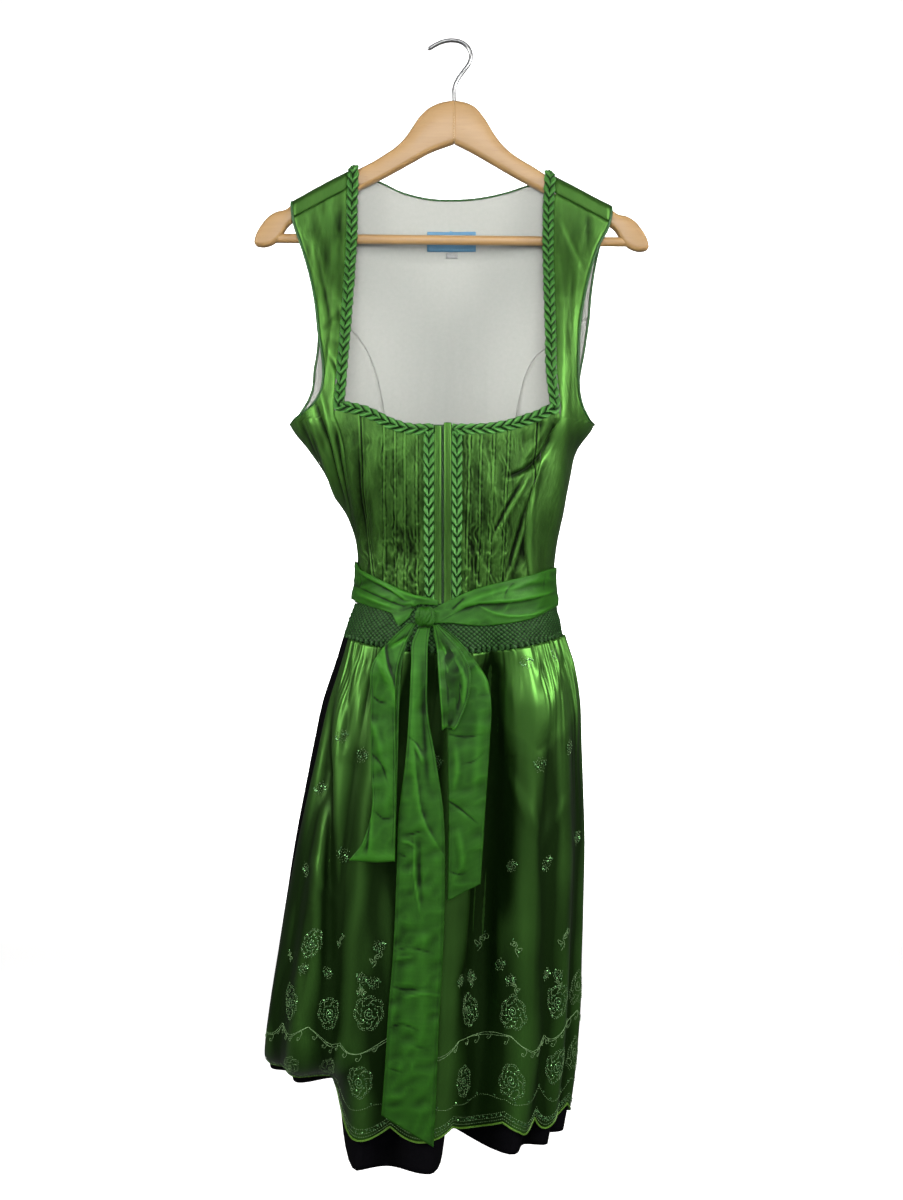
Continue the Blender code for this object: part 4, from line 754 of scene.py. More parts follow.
def frontSideEdges(title, side):
    # the inner edge runs beside the ruche and down the princess seam, the outer edge round the
    # armhole and down the side
    princess, armhole = seams["princess" + title], seams["armFront" + title]
    clear = 2 * bodice["rucheHalf"] - 0.4
    strap = smoothLine([(x + side * clear, drop) for x, drop in seams["neckSide" + title]], 60)
    topX = strap[0, 0] + side * 0.5
    strap = strap[strap[:, 1] > crest(topX) + dress["shoulderSeam"] + 4]
    starts = [(x, float(crest(x)) + dress["shoulderSeam"]) for x in (topX, armhole[0][0])]
    inner = smoothLine(np.concatenate([[starts[0]], strap, [princess[0]]]), bodice["upperRows"])
    outer = smoothLine([starts[1]] + armhole[1:], bodice["upperRows"])
    low = np.linspace(seams["underarm"], seams["bodiceHem"], bodice["lowerRows"])
    return (np.concatenate([inner[:-1], np.stack([seamAt(title, low), low], -1)]),
            np.concatenate([outer[:-1], sideLine(side, low)]))


# creases of the fronts, shared by the side front and the centre front so that their seam
# stays closed: height, width, kind, x and drop of each point
frontCreases = {
    -1: [(-1.6, 3.0, -152, 235, -138, 300, -131, 335), (1.4, 5.0, -127.6, 222, -132, 285, -114, 321),
         (-0.8, 4.0, -143, 334, -118.7, 309), (-0.6, 4.0, -134, 345, -114, 361),
         (-1.6, 2.2, -134, 361, -118.7, 397, -116.5, 419), (1.6, 2.0, -162, 430, -140, 500, -120, 580),
         (-4.2, 3.0, -166, 436, -150, 476, -124, 560, -112, 610), (3.2, 3.4, -158, 425, -141, 470, -118, 560),
         (-3.8, 2.4, -150, 412, -134, 460, -114, 540), (2.8, 3.0, -143, 400, -128, 460, -112, 545),
         (-3.6, 2.2, -126, 440, -118, 500, -104, 590), (2.2, 4.0, -128, 300, -131, 350, -138, 400),
         (1.2, 4.0, -136, 345, -128, 380, -124, 415), (1.8, 6.0, -160, 215, -146, 260, -140, 320),
         (-1.2, 4.5, -126, 190, -123, 260, -124, 330), (2.4, 5.0, -112, 452, -106, 520, -98, 606),
         (1.8, 7.0, -88, 460, -84, 530, -80, 600), (-1.6, 3.2, -100, 470, -96, 530, -90, 600)],
    1: [(-1.2, 6.0, 156, 196, 152, 224, 144, 250), (1.3, 3.4, 122, 205, 134, 236, 144, 262),
        (1.5, 4.2, 119, 250, 121, 320, 119, 400), (-1.6, 3.4, 136, 262, 131, 310, 129, 360),
        (-4.2, 2.8, 112, 438, 101, 468, 84, 488, 60, 500), (2.2, 4.0, 104, 430, 92, 462, 78, 480),
        (1.6, 3.0, 90, 488, 66, 528, 50, 558), (-2.2, 2.2, 80, 496, 58, 534, 42, 566),
        (-2.2, 2.6, 88, 506, 72, 560, 58, 612), (1.8, 2.8, 80, 540, 68, 586, 52, 626),
        (2.0, 4.0, 98, 474, 88, 510, 84, 560, 88, 620), (3.0, 9.5, 122, 300, 121, 400, 116, 520, 110, 610),
        (-1.2, 7.0, 139, 430, 135, 500, 126, 590), (1.6, 6.0, 150, 215, 136, 280, 130, 340),
        (-0.8, 4.0, 100, 540, 98, 580, 99, 620)],
}


def bustPull(x, drop, width):
    # the slanting pull beside the right bust, across the princess seam
    return bump(x + (drop - 440) * 0.22, width) * within(drop, 436, 8, 500, 20)


for label, title, side in sides:
    inner, outer = frontSideEdges(title, side)
    row, column = np.arange(len(inner)), np.arange(bodice["sideColumns"])
    straight = np.clip(1 - row / (bodice["upperRows"] - 1), 0, 1)
    angle, drop = between(inner, outer, len(column), straight=straight)
    flat = bodyGrid(angle, drop)
    x = flat[..., 0]
    dip = edgeDip(flat)
    small = 0.45 * softNoise(x / 9, drop / 26, 5 + side) + 0.2 * softNoise(x / 3.5, drop / 12, 15 + side)
    small = small * (1 if side < 0 else 0.55)
    # the creases die away at the armhole's cord
    atCord = bump(column[-1] - column[None, :], 3.2) * (row < bodice["upperRows"] + 2)[:, None]
    lift = dip + (creaseField(x, drop, frontCreases[side]) + small * awayFade(dip)) * (1 - atCord)
    lift = lift + (2.2 * bustPull(x - 100, drop, 4.5) if side > 0 else 0)
    # painted light and shade: broad bright and dark patches on the satin
    paintedLightPatches = 0.30 * softNoise(x / 9, drop / 42, 61 + side) + 0.15 * softNoise(x / 4, drop / 20, 63 + side)
    sheetPiece("frontSide" + title, bodyGrid(angle, drop, lift), "bodiceSatin",
               lined=True, inside=(0, 0, -400),
               shade=paintedLightPatches * (1 if side < 0 else 0.5))

# the centre fronts: x of each corded line at the top and at the waist; the stitched seam beside them
frontPanel = {
    "columns": 136, "rows": 166,
    "cords": {-1: ((-71.5, -72.5), (-60, -60.5), (-50, -49), (-36.8, -36.5)),
              1: ((19.8, 15.5), (32.5, 27), (46, 38.5), (61.5, 53))},
    "seam": {-1: [(-97, 436), (-95.6, 482), (-95, 510), (-91, 555), (-84.5, 600), (-80, 633)],
             1: [(92.3, 440), (91, 470), (89.6, 500), (86, 530)]},
}


def panelPuckers(x, drop, lines, seed):
    # long wandering strands, tiny puckers beside the cords and broad uneven patches
    near = np.min([np.abs(x - line) for line in lines], axis=0)
    tight = np.clip(1.1 - near / 7, 0.15, 1)
    drift = 0.9 * softNoise(x / 9, drop / 14, seed + 3)
    strands = 0.5 - np.abs(softNoise(x / 4.2 + drift, drop / 16, seed + 13))
    fine = softNoise(x / 2.4 + drift, drop / 3.4, seed)
    patch = softNoise(x / 13, drop / 34, seed + 9)
    low = 0.7 + 0.5 * ease((drop - 520) / 80)
    height = 0.42 * fine * tight + 1.5 * strands * (0.35 + 0.65 * tight) + 1.7 * patch
    return height * low * ease((drop - 446) / 16)


for label, title, side in sides:
    edgeX = bodice["ruche" + title] + side * (bodice["frontRucheHalf"] - 1.0)
    neckTable = sorted(seams["neckFront" + title])
    cornerX = seamAt(title, seams["underarm"])
    share = alongRow(frontPanel["columns"])
    topX = mix(cornerX, edgeX, share[0])
    slope = (track(neckTable, 1, topX + 1) - track(neckTable, 1, topX - 1)) / 2
    topDrop = track(neckTable, 1, topX) + (2 * bodice["rucheHalf"] - 2.6) * np.sqrt(1 + slope**2)
    drop = mix(topDrop[None, :], seams["bodiceHem"], alongColumn(frontPanel["rows"]))
    edgeAngle = angleOf(np.full(len(drop), edgeX), drop[:, -1])
    sideAngle = angleOf(seamAt(title, drop[:, 0]), drop[:, 0])
    angle = mix(sideAngle[:, None], edgeAngle[:, None], share)
    flat = bodyGrid(angle, drop)
    x = flat[..., 0]
    down = np.clip((drop - 440) / 193, 0, 1)
    lines = [top + (low - top) * down + 0.6 * softNoise(drop / 40, 0.5 + top, 70)
             for top, low in frontPanel["cords"][side]]
    seam = frontPanel["seam"][side]
    seamX = track([(down, at) for at, down in seam], 1, drop)
    dip = edgeDip(flat, (False, False, True, False))
    lift = dip + creaseField(x, drop, frontCreases[side])
    for line in lines:
        lift = lift + 0.55 * bump(x - line, 1.0) - 0.42 * bump(np.abs(x - line) - 1.7, 0.5)
    seamSpan = 1 - ease((drop - seam[-1][1] + 6) / 8)
    lift = lift - (0.9 * bump(x - seamX, 0.8) - 0.6 * bump(np.abs(x - seamX) - 1.8, 0.9)) * seamSpan
    lift = lift + (panelPuckers(x, drop, lines, 30 + side) * awayFade(dip)
                   * ease((np.abs(x - cornerX) - 14) / 18 + 0.25))
    lift = lift - (1.6 * bustPull(x - 96, drop, 5.5) if side > 0 else 0)
    # painted light and shade: broad bright and dark patches on the satin
    paintedLightPatches = 0.26 * softNoise(x / 11, drop / 38, 65 + side) + 0.14 * softNoise(x / 4.5, drop / 17, 67)
    sheetPiece("frontPanel" + title, bodyGrid(angle, drop, lift), "panelSatin",
               lined=True, inside=(0, 0, -540), shade=paintedLightPatches)
print("bodice fronts made")


def backRows(upperCount, middleCount, lowerCount):
    # edge lines of the centre back, left and right, from the yoke to the waist
    edges = []
    for label, title, side in sides:
        upper = smoothLine(seams["armBack" + title], upperCount)
        upper[:, 1] = upper[:, 1] + (dress["yoke"] - upper[0, 1]) * np.linspace(1, 0, upperCount)
        middle = smoothLine(seams["back" + title], middleCount)
        low = np.linspace(seams["underarm"], seams["bodiceHem"], lowerCount)
        reach = (low - low[0]) / (low[-1] - low[0])
        start = middle[-1, 0]
        lower = np.stack([start + (side * seams["backWaist"] - start) * ease(reach), low], -1)
        edges.append((upper, middle, lower))
    return edges


backEdges = backRows(32, 36, 46)


def backGrids(lift):
    # grids of the centre back: the panel itself, a strap over each shoulder and the neck
    left, right = [np.concatenate([up, middle[1:], low[1:]]) for up, middle, low in backEdges]
    strapColumns, neckColumns, rollRows, backRowCount, frontRowCount = 13, 53, 40, 13, 7
    neckEnds = (seams["neckBack"][0][0], seams["neckBack"][-1][0])
    top = np.concatenate([np.linspace(left[0, 0], neckEnds[0], strapColumns)[:-1],
                          np.linspace(*neckEnds, neckColumns)[:-1],
                          np.linspace(neckEnds[1], right[0, 0], strapColumns)])
    angle, drop = between(left, right, len(top), front=False)
    topAngle = angleOf(top, dress["yoke"], False)
    spread = (topAngle - topAngle[0]) / (topAngle[-1] - topAngle[0])
    share = mix(spread[None, :], alongRow(len(top)), ease(np.arange(len(left)) / 60.0)[:, None])
    grids = [[mix(table[:, :1], table[:, -1:], share) for table in (angle, drop)]]
    for side in (-1, 1):
        near = top[:strapColumns] if side < 0 else top[-strapColumns:]
        turns = np.linspace(90, -90, rollRows)
        tip, neck = [track(seams["strapOver"], k, turns)[:, None] for k in (1, 2)]
        x = mix(*((tip, neck) if side < 0 else (neck, tip)), alongRow(strapColumns)) * side
        over = crest(x) + dress["rollRadius"] * (1 - np.cos(np.radians(turns)))[:, None]
        down = alongColumn(backRowCount + 1)[:-1]
        backX, backDrop = mix(near[None, :], x[:1], down), mix(dress["yoke"], over[:1], down)
        frontX = np.broadcast_to(x[-1:], (frontRowCount, strapColumns))
        frontDrop = mix(over[-1:], crest(x[-1:]) + dress["shoulderSeam"], alongColumn(frontRowCount + 1)[1:])
        behind, ahead = slice(rollRows // 2), slice(rollRows // 2, None)
        angles = np.concatenate([angleOf(backX, backDrop, False), angleOf(x[behind], over[behind], False),
                                 angleOf(x[ahead], over[ahead], True), angleOf(frontX, frontDrop, True)])
        grids.append((angles[::-1], np.concatenate([backDrop, over, frontDrop])[::-1]))
    neck = top[strapColumns - 1:strapColumns - 1 + neckColumns]
    neckX = neck.copy()
    neckX[[0, -1]] = np.array([-1, 1]) * seams["strapOver"][-1][2]
    neckTop = track(seams["neckBack"], 1, neckX)
    neckTop[[0, -1]] = crest(neckX[[0, -1]]) + dress["rollRadius"]
    down = alongColumn(backRowCount + 1)
    neckDrop = mix(neckTop[None, :], dress["yoke"], down)
    grids.append((angleOf(mix(neckX[None, :], neck[None, :], down), neckDrop, False), neckDrop))
    return [bodyGrid(angle, drop, lift(bodyGrid(angle, drop)[..., 0], drop, np.cos(angle) < 0))
            for angle, drop in grids]


def joinedPiece(name, grids, look):
    # several grids as one sheet: points that fall together are joined before the wall is added,
    # and every face is turned away from the dress's upright axis
    points = np.concatenate([grid.reshape(-1, 3) for grid in grids])
    starts = np.cumsum([0] + [grid.shape[0] * grid.shape[1] for grid in grids])
    faces = np.concatenate([gridFaces(*grid.shape[:2]) + start for grid, start in zip(grids, starts)])
    _, first, same = np.unique(np.round(points, 1), axis=0, return_index=True, return_inverse=True)
    used, faces = np.unique(first[same.reshape(-1)][faces], return_inverse=True)
    faces = faces.reshape(-1, 4)
    faces = faces[(np.diff(np.sort(faces, axis=1), axis=1) > 0).all(axis=1)]
    piece = meshPiece(name, points[used], faces, look)
    work = bmesh.new()
    work.from_mesh(piece.data)
    bmesh.ops.recalc_face_normals(work, faces=work.faces)
    if sum(face.normal.y * face.calc_center_median().y * face.calc_area() for face in work.faces) < 0:
        bmesh.ops.reverse_faces(work, faces=work.faces)
    work.to_mesh(piece.data)
    work.free()
    thicken(piece, dress["cloth"])
    ride(piece)
    sew(grids)


# drag lines of the back: height, width, x and drop of each point
backCreases = [(1.3, 7, -120, 330, -70, 380, -20, 400), (-1.2, 7, 110, 345, 60, 400, 10, 430),
               (1.2, 5, -60, 560, -20, 600, 10, 628), (1.1, 5, 60, 540, 30, 590, 8, 628),
               (-1.2, 4, -66, 590, -30, 612, 30, 618)]


def backLift(x, drop, behind):
    # drag lines, the centre seam below the yoke and the shoulder seams in front
    lift = creaseField(x, drop, backCreases) * behind + 0.4 * softNoise(x / 12, drop / 30, 77)
    lift = lift - 0.9 * bump(x - 1, 1.4) * behind * ease((drop - 205) / 6)
    seam = dress["shoulderSeam"] - (drop - crest(x))
    return lift - bodice["seamPull"] * bump(seam, bodice["seamWide"]) * (1 - behind)


joinedPiece("backPanel", backGrids(backLift), "bodiceSatin")
# the lining's long seams along the edges of the back, and its wrinkles, in the same form
liningCreases = [*[(-0.9, 0.9, *edges[1][::6].ravel()) for edges in backEdges],
                 (-0.9, 4.0, -66, 262, -58, 330, -60, 430), (0.9, 6.0, -34, 250, -30, 330, -40, 440),
                 (-0.7, 5.0, -8, 246, -4, 330, -12, 430), (0.8, 5.0, 24, 250, 22, 340, 30, 440),
                 (-0.9, 4.5, 52, 256, 44, 340, 40, 430), (0.8, 6.0, 84, 262, 74, 320, 60, 400),
                 (0.8, 5.0, -92, 262, -84, 310, -74, 370), (-0.6, 2.2, -46, 300, -50, 360, -52, 430),
                 (-0.6, 2.2, 12, 290, 10, 360, 16, 430), (0.6, 3.0, -100, 236, -20, 244, 60, 238, 104, 232)]


def liningLift(x, drop, behind):
    # the lining lies deeper: the stitched facing below the neck edge, the yoke seam across, soft
    # upright wrinkles and the long seams at the sides
    seam = 0.7 * bump(drop - 219 - 0.0006 * x**2, 1.1) * behind
    facing = -0.7 * bump(drop - track(seams["neckBack"], 1, np.clip(x, -100, 100)) - 9.0, 0.8) * behind
    slack = 0.35 * (softNoise(x / 22, drop / 60, 12) - 1) + creaseField(x, drop, liningCreases)
    return -dress["liningAt"] + seam + facing + slack * behind


joinedPiece("liningPanel", backGrids(liningLift), "lining")
for (label, title, side), (upper, middle, lower) in zip(sides, backEdges):
    outer = smoothLine(seams["underarm" + title], len(middle))
    outer[0] = upper[-2]
    angle, drop = between(np.concatenate([middle[:-1], lower]),
                          np.concatenate([outer[:-1], sideLine(side, lower[:, 1])]), 48, front=False)
    flat = bodyGrid(angle, drop)
    wave = 0.5 * softNoise(flat[..., 0] / 12, drop / 24, 21 + side)
    sheetPiece("backSide" + title, bodyGrid(angle, drop, edgeDip(flat) + wave), "bodiceSatin",
               inside=(0, 0, -500))
    lift = -dress["liningAt"] + 0.2 * wave - 0.3 + creaseField(flat[..., 0], drop, liningCreases)
    sheetPiece("liningSide" + title, bodyGrid(angle, drop, lift), "lining",
               inside=(0, 0, -500))
print("back and lining made")

# the bare label and size tab sewn into the back neck: node, look, left, right, top, bottom
labels = {"neckLabel": ("label", "labelBlue", -28, 28, 209, 230.5),
          "sizeTab": ("size_tab", "tabWhite", -6.4, 7.4, 231.2, 238)}
for name, (nodeItem, look, left, right, top, bottom) in labels.items():
    x, down = np.linspace(left, right, 57)[None, :], np.linspace(top, bottom, 29)[:, None]
    away = np.minimum(np.minimum(x - left, right - x), np.minimum(down - top, bottom - down))
    pressed = -0.8 * bump(away - 1.4, 0.5) + 0.1 * softNoise(x / 9, down / 7, 3)
    sheetPiece(name, bodyGrid(angleOf(x, down, False), down, -4.3 + pressed), look,
               [nodeItem], wall=0.45, inside=(0, 0, -220), reaches=(1,))


# pipings: a round cord along each armhole and along the back neck, how far off the edge it lies
piping = {"radius": 1.5, "armhole": -0.1, "neck": -0.25}


def pipingPiece(name, places, normals, away, clearance, closed):
    # evenly spaced along the edge, moved off it, with a faint twist of the cord inside
    path = places + unitWays(away) * (piping["radius"] + clearance)
    count = len(path) * 5
    if closed:
        path, normals = [np.concatenate([line, line[:1]]) for line in (path, normals)]
    at = np.linspace(0, 1, count + 1 if closed else count)
    path, normals = [smoothLine(line, at=at)[:count] for line in (path, normals)]
    radius = piping["radius"] * (1 + 0.04 * np.sin(np.arange(count) * 0.9))
    closedPiece(name, *tubeAlong(path, normals, radius, 12, closed), "piping")


edge = np.linspace(-seams["strapOver"][-1][2], seams["strapOver"][-1][2], 40)[1:-1]
drop = track(seams["neckBack"], 1, edge)
angle = angleOf(edge, drop, False)
normal = outward(angle, drop)
place = body(angle, drop) - normal * 1.5
away = np.cross(normal, np.gradient(place, axis=0))
pipingPiece("neckPipingBack", place, normal, away * np.sign(away[:, 2:].mean()), piping["neck"], False)
for (label, title, side), (upper, _, _) in zip(sides, backEdges):
    # stops: x, drop, whether in front, how far in it lies
    _, front = frontSideEdges(title, side)
    stops = [(x, drop, True, 0.6) for x, drop in front[:bodice["upperRows"]][::-6]]
    for turn in np.linspace(-90, 90, 13):
        tipX = float(track(seams["strapOver"], 1, turn)) * side
        roll = dress["rollRadius"] * (1 - math.cos(math.radians(turn)))
        stops.append((tipX, float(crest(tipX)) + roll, turn < 0, 1.2))
    under = smoothLine(seams["underarm" + title], 14)[:-1]
    stops += [(x, drop, False, 1.5) for x, drop in [*upper[::4], *under]]
    x, drop, ahead, inset = np.array(stops, float).T
    angle = np.where(ahead > 0.5, angleOf(x, drop, True), angleOf(x, drop, False))
    normals = outward(angle, drop)
    places = body(angle, drop) - normals * inset[:, None]
    away = unitWays(np.cross(normals, np.roll(places, -1, 0) - np.roll(places, 1, 0)))
    away = away * np.sign(np.sum(away * (places.mean(axis=0) - places), axis=-1).sum())
    pipingPiece("armholePiping" + title, places, normals, away, piping["armhole"], True)
print("labels and pipings made")

# plaited ruches of the neckline and the front closing
ruche = {"pitch": 10.6, "rise": 4.6, "columns": 21, "perPitch": 16}


def ruchePiece(name, nodes, place, normal, half, rise):
    # folded leaves that overlap like roof tiles: the height climbs along each V and drops at its
    # lip, the V being deeper in the middle; left and right leaves part along a groove, and the
    # sides are scalloped with the same beat
    length = steps(place).sum()
    stations = int(length / ruche["pitch"] * ruche["perPitch"])
    place, normal = evenLine(place, normal, stations)
    normal = unitWays(normal)
    side = unitWays(np.cross(np.gradient(place, axis=0), normal))
    s = np.linspace(-1, 1, ruche["columns"])[None, :]
    t = np.linspace(0, length / ruche["pitch"], stations)[:, None]
    uneven = 0.10 * softNoise(t * 0.7, 0.5 + 0 * s, 5) + 0.06 * softNoise(t * 1.3, s * 0.8, 8)
    beat = t - 0.75 * (1 - np.abs(s)) + uneven
    lip = beat - np.floor(beat)
    leaf = ease(lip / 0.80) * (1 - ease((lip - 0.82) / 0.18))
    groove = bump(s, 0.13) * 0.40 * (1 - 0.6 * leaf)
    dome = np.sqrt(np.clip(1 - s**2, 0, 1)) ** 0.8
    height = rise * dome * (0.26 + 0.74 * leaf - groove) - 0.8
    wide = half * s * (1 + 0.16 * (leaf - 0.5) + 0.05 * softNoise(t * 1.1, s, 3))
    grid = place[:, None] + side[:, None] * wide[..., None] + normal[:, None] * height[..., None]
    if (gridNormals(grid) * normal[:, None]).sum() < 0:
        grid = grid[:, ::-1]
    sheetPiece(name, grid, "trimSatin", nodes, wall=0.8)


for label, title, side in sides:
    # down the strap from behind the shoulder, round the corner and along the front neckline
    half = bodice["rucheHalf"]
    neckSide = seams["neckSide" + title]
    strap = smoothLine(neckSide, 120)
    strap[:, 0] += side * (half + 0.1)
    strap = strap[(strap[:, 1] > crest(strap[:, 0]) + 12) & (strap[:, 1] < neckSide[-1][1] - 3)]
    turns = np.linspace(12, -90, 15)
    overX = np.full(15, strap[0, 0])
    overDrop = crest(overX) + dress["rollRadius"] * (1 - np.cos(np.radians(turns)))
    neck = smoothLine(seams["neckFront" + title], 90)
    ahead = unitWays(np.gradient(neck, axis=0))
    neck = neck + np.stack([ahead[:, 1], -ahead[:, 0]], -1) * side * (half + 0.1)
    stop = -18.6 if side < 0 else 0.6
    neck = neck[(neck[:, 0] * side > stop * side) & (np.arange(90) > 3)]
    cornerAt = np.array([neckSide[-1]]) + np.array([[side * (half - 0.4), half - 0.6]])
    x, drop = np.concatenate([np.stack([overX, overDrop], -1), strap, cornerAt, neck]).T
    ahead = np.concatenate([turns <= 0, np.full(len(x) - 15, True)])
    angle = np.where(ahead, angleOf(x, drop, True), angleOf(x, drop, False))
    normal = outward(angle, drop)
    place = body(angle, drop) + normal * creaseField(x, drop, frontCreases[side])[:, None]
    ruchePiece("rucheNeck" + title, [f"trim_strap_{label}", f"trim_neck_{label}"], place, normal, half,
               ruche["rise"])
    upright = np.linspace(452, 633.5, 60)
    angle = angleOf(np.full(60, bodice["ruche" + title]), upright)
    ruchePiece("rucheFront" + title, [f"trim_front_{label}"], body(angle, upright), outward(angle, upright),
               bodice["frontRucheHalf"] + 0.5, ruche["rise"] - 0.4)

# the front closing: two welts (x of both edges, top, share of the stitched line), the teeth
# between them and the tape behind
closing = {"Left": (-18.3, -10.6, 446.0, 0.28), "Right": (-8.2, 0.0, 442.5, 0.72),
           "bottom": seams["bodiceHem"] + 5, "rows": 170, "teethX": -9.4, "pitch": 1.6}
for label, title, side in sides:
    left, right, top, stitched = closing[title]
    share, down = alongRow(17), np.linspace(top, closing["bottom"], closing["rows"])[:, None]
    lift = 0.3 + 1.3 * (1 - (2 * share - 1) ** 4) - 0.35 * bump(share - stitched, 0.05)
    lift = lift + 0.12 * softNoise(share * 3, down / 9, 15)
    grid = bodyGrid(angleOf(left + (right - left) * share, down), down, lift)
    sheetPiece("welt" + title, grid, "bodiceSatin", inside=(0, 0, -540))
down = np.linspace(444, closing["bottom"], closing["rows"])[:, None]
grid = bodyGrid(angleOf(-19.0 + 20.0 * alongRow(21), down), down, -1.9 + 0.1 * np.sin(down * 2.2))
sheetPiece("zipTape", grid, "piping", wall=0.9, inside=(0, 0, -540))
teeth = np.arange(446, seams["bodiceHem"] - 1, closing["pitch"])
angle = angleOf(closing["teethX"] + np.where(np.arange(len(teeth)) % 2, 0.35, -0.35), teeth)
grains = scatter(*grain(6, 3), bodyGrid(angle, teeth, -1.2), np.tile([1.0, 0, 0], (len(teeth), 1)),
                 outward(angle, teeth), (1.1, 0.55, 0.6))
ride(meshPiece("zipTeeth", *grains, "zipMetal"), ())
print("ruches and closing made")

# skirt and apron on shared folds
skirt = {"rows": 112, "perFold": 18, "folds": {"Front": (0, 9), "Back": (9, 15)}, "rightHemRise": 14.0}


def gatherLift(angle, drop, seed, strength, top=634, run=120, freq=30):
    # small gathers hanging from the waist seam, uneven in spacing, dying away down the cloth
    fade = np.exp(-np.maximum(drop - top, 0) / run)
    drift = 0.5 * softNoise(angle * 3, drop / 90, seed + 1)
    return strength * fade * softNoise(angle * freq + drift, drop / 160, seed)


def valleyLift(angle, drop):
    # the hollow beside the tails, and a lesser one left of the bow, shared by skirt and apron
    turn = np.degrees(angle)
    return (-19.0 * bump(turn - 20, 6.5) * within(drop, 676, 40, 960, 180)
            - 13.0 * bump(turn + 13, 10.0) * within(drop, 684, 50, 890, 120))


def hangCreases(angle, drop, seed):
    # long soft breaks and small dents of hanging cloth
    far = softNoise(angle * 5.5 + 0.2 * drop / 100, drop / 120, seed)
    near = softNoise(angle * 15, drop / 45, seed + 5)
    return (1.3 * far + 0.45 * near) * ease((drop - 700) / 120)


rows = np.linspace(dress["waist"] + 0.1, dress["hem"], skirt["rows"])
for title, folds in skirt["folds"].items():
    angle = foldAngles(*folds, rows, skirt["perFold"])
    turn = np.degrees(angle)
    rise = within(turn, 15, 30, 110, 50) * ease((rows[:, None] - 1100) / 137)
    drop = rows[:, None] - skirt["rightHemRise"] * rise
    under = within(turn, -66, 8, 96, 8)
    lift = (gatherLift(angle, drop, 51, 1.6) + hangCreases(angle, drop, 61)) * (1 - under * 0.9)
    lift = lift + (valleyLift(angle, drop) - 0.3 - 9.5 * within(drop, 690, 60, 1150, 40)) * under
    grid = bodyGrid(angle, drop, lift - 0.5 * bump(drop - rows[-1] + 22, 1.2), 1.0)
    leaning = within(-turn, 18, 15, 120, 40) if title == "Front" else 0
    grid[..., 2] -= 8.0 * leaning * ease((drop - 1206) / 30)
    sheetPiece("skirt" + title, grid, "skirtCloth", step=2)
print("skirt made")

apron = {"rows": 162, "perFold": 30, "folds": (1, 8), "hem": 1203.0, "out": 1.05, "wall": 1.1,
         "scallopRise": 13.0, "scallopsPerFold": 1.5, "bandTop": 634.6, "bandHem": 687.0, "bandRise": 17.0}
# folds, pouches and dents of the apron: height, width, x and drop of each point
apronCreases = [(-2.0, 6, 100, 770, 96, 786, 88, 792), (3.2, 8, 112, 688, 108, 730, 100, 772),
                (4.0, 10, 50, 690, 58, 750, 64, 800), (3.0, 7, 128, 690, 132, 740, 130, 800),
                (-2.6, 4, 70, 684, 72, 710, 74, 738), (-2.2, 3.6, 98, 684, 96, 705, 94, 730),
                (-2.0, 3.4, 120, 684, 119, 706, 117, 735), (2.0, 6, 60, 808, 76, 846, 92, 880),
                (1.4, 6, 96, 905, 108, 870, 124, 840), (2.0, 14, 80, 800, 78, 900, 76, 1000),
                (3.0, 12, 118, 780, 120, 900, 116, 1050), (-2.4, 9, 98, 800, 98, 900, 96, 1040),
                (5.0, 8, -116, 690, -124, 750, -134, 820), (4.4, 8, -98, 690, -98, 740, -100, 800),
                (-2.6, 4, -107, 690, -111, 740, -116, 790),
                (-9.0, 7, -126, 700, -134, 780, -132, 900, -134, 1070),
                (3.0, 9, -152, 800, -160, 900, -172, 1040), (4.0, 12, -112, 800, -118, 900, -124, 1040),
                (-2.6, 8, -84, 820, -84, 900, -84, 1000), (4.0, 9, -64, 900, -66, 1000, -66, 1110),
                (-2.4, 8, -40, 860, -42, 960, -44, 1060), (6.0, 9, 16, 900, 20, 960, 16, 1030),
                (-2.0, 6, 40, 960, 38, 1040, 36, 1120), (2.2, 6, 44, 900, 50, 990, 54, 1080),
                (2.4, 7, -172, 940, -178, 1000, -186, 1060), (-2.4, 5, -150, 960, -156, 1020, -164, 1080),
                (1.8, 5, -128, 1010, -132, 1050, -134, 1090), (1.6, 6, -146, 905, -138, 935, -124, 960)]


def bandHem(angle):
    return apron["bandHem"] - apron["bandRise"] * np.sin(angle) ** 2


# rows run from the waistband's lower edge to the scalloped hem
apronTurn = foldAngles(*apron["folds"], np.linspace(680, apron["hem"], apron["rows"]), apron["perFold"])
top = bandHem(apronTurn[:1]) + 0.5
beat = np.arange(apronTurn.shape[1])[None, :] / apron["perFold"] * apron["scallopsPerFold"]
hem = apron["hem"] - apron["scallopRise"] * (1 - np.abs(np.sin(np.pi * (beat + 0.25))))
apronDown = top + (hem - top) * alongColumn(apron["rows"])
flat = bodyGrid(apronTurn, apronDown, apron["out"])
lift = gatherLift(apronTurn, apronDown, 91, 3.4, top=684, run=36, freq=46)
# the full pouch under the right band lies smooth between its gathers
pouch = bump(flat[..., 0] - 72 - 0.28 * (apronDown - 690), 31) * within(apronDown, 686, 60, 722, 140)
lift = lift + gatherLift(apronTurn, apronDown, 95, 2.4, top=684, run=110, freq=17) * (1 - 0.75 * pouch)
lift = lift + 0.8 * hangCreases(apronTurn, apronDown, 97) + 6.5 * pouch
lift = lift + creaseField(flat[..., 0], apronDown, apronCreases) * ease((apronDown - 684) / 16)
lift = np.maximum(lift, -0.6 - 9 * ease((apronDown - 690) / 60))
fromEdge = arcPlaces(flat)[0]
lift = lift * ease(fromEdge / 26) + apron["out"] + 0.3 + (apron["wall"] + 0.4) * ease(fromEdge / 12)
apronGrid = bodyGrid(apronTurn, apronDown, lift + valleyLift(apronTurn, apronDown))
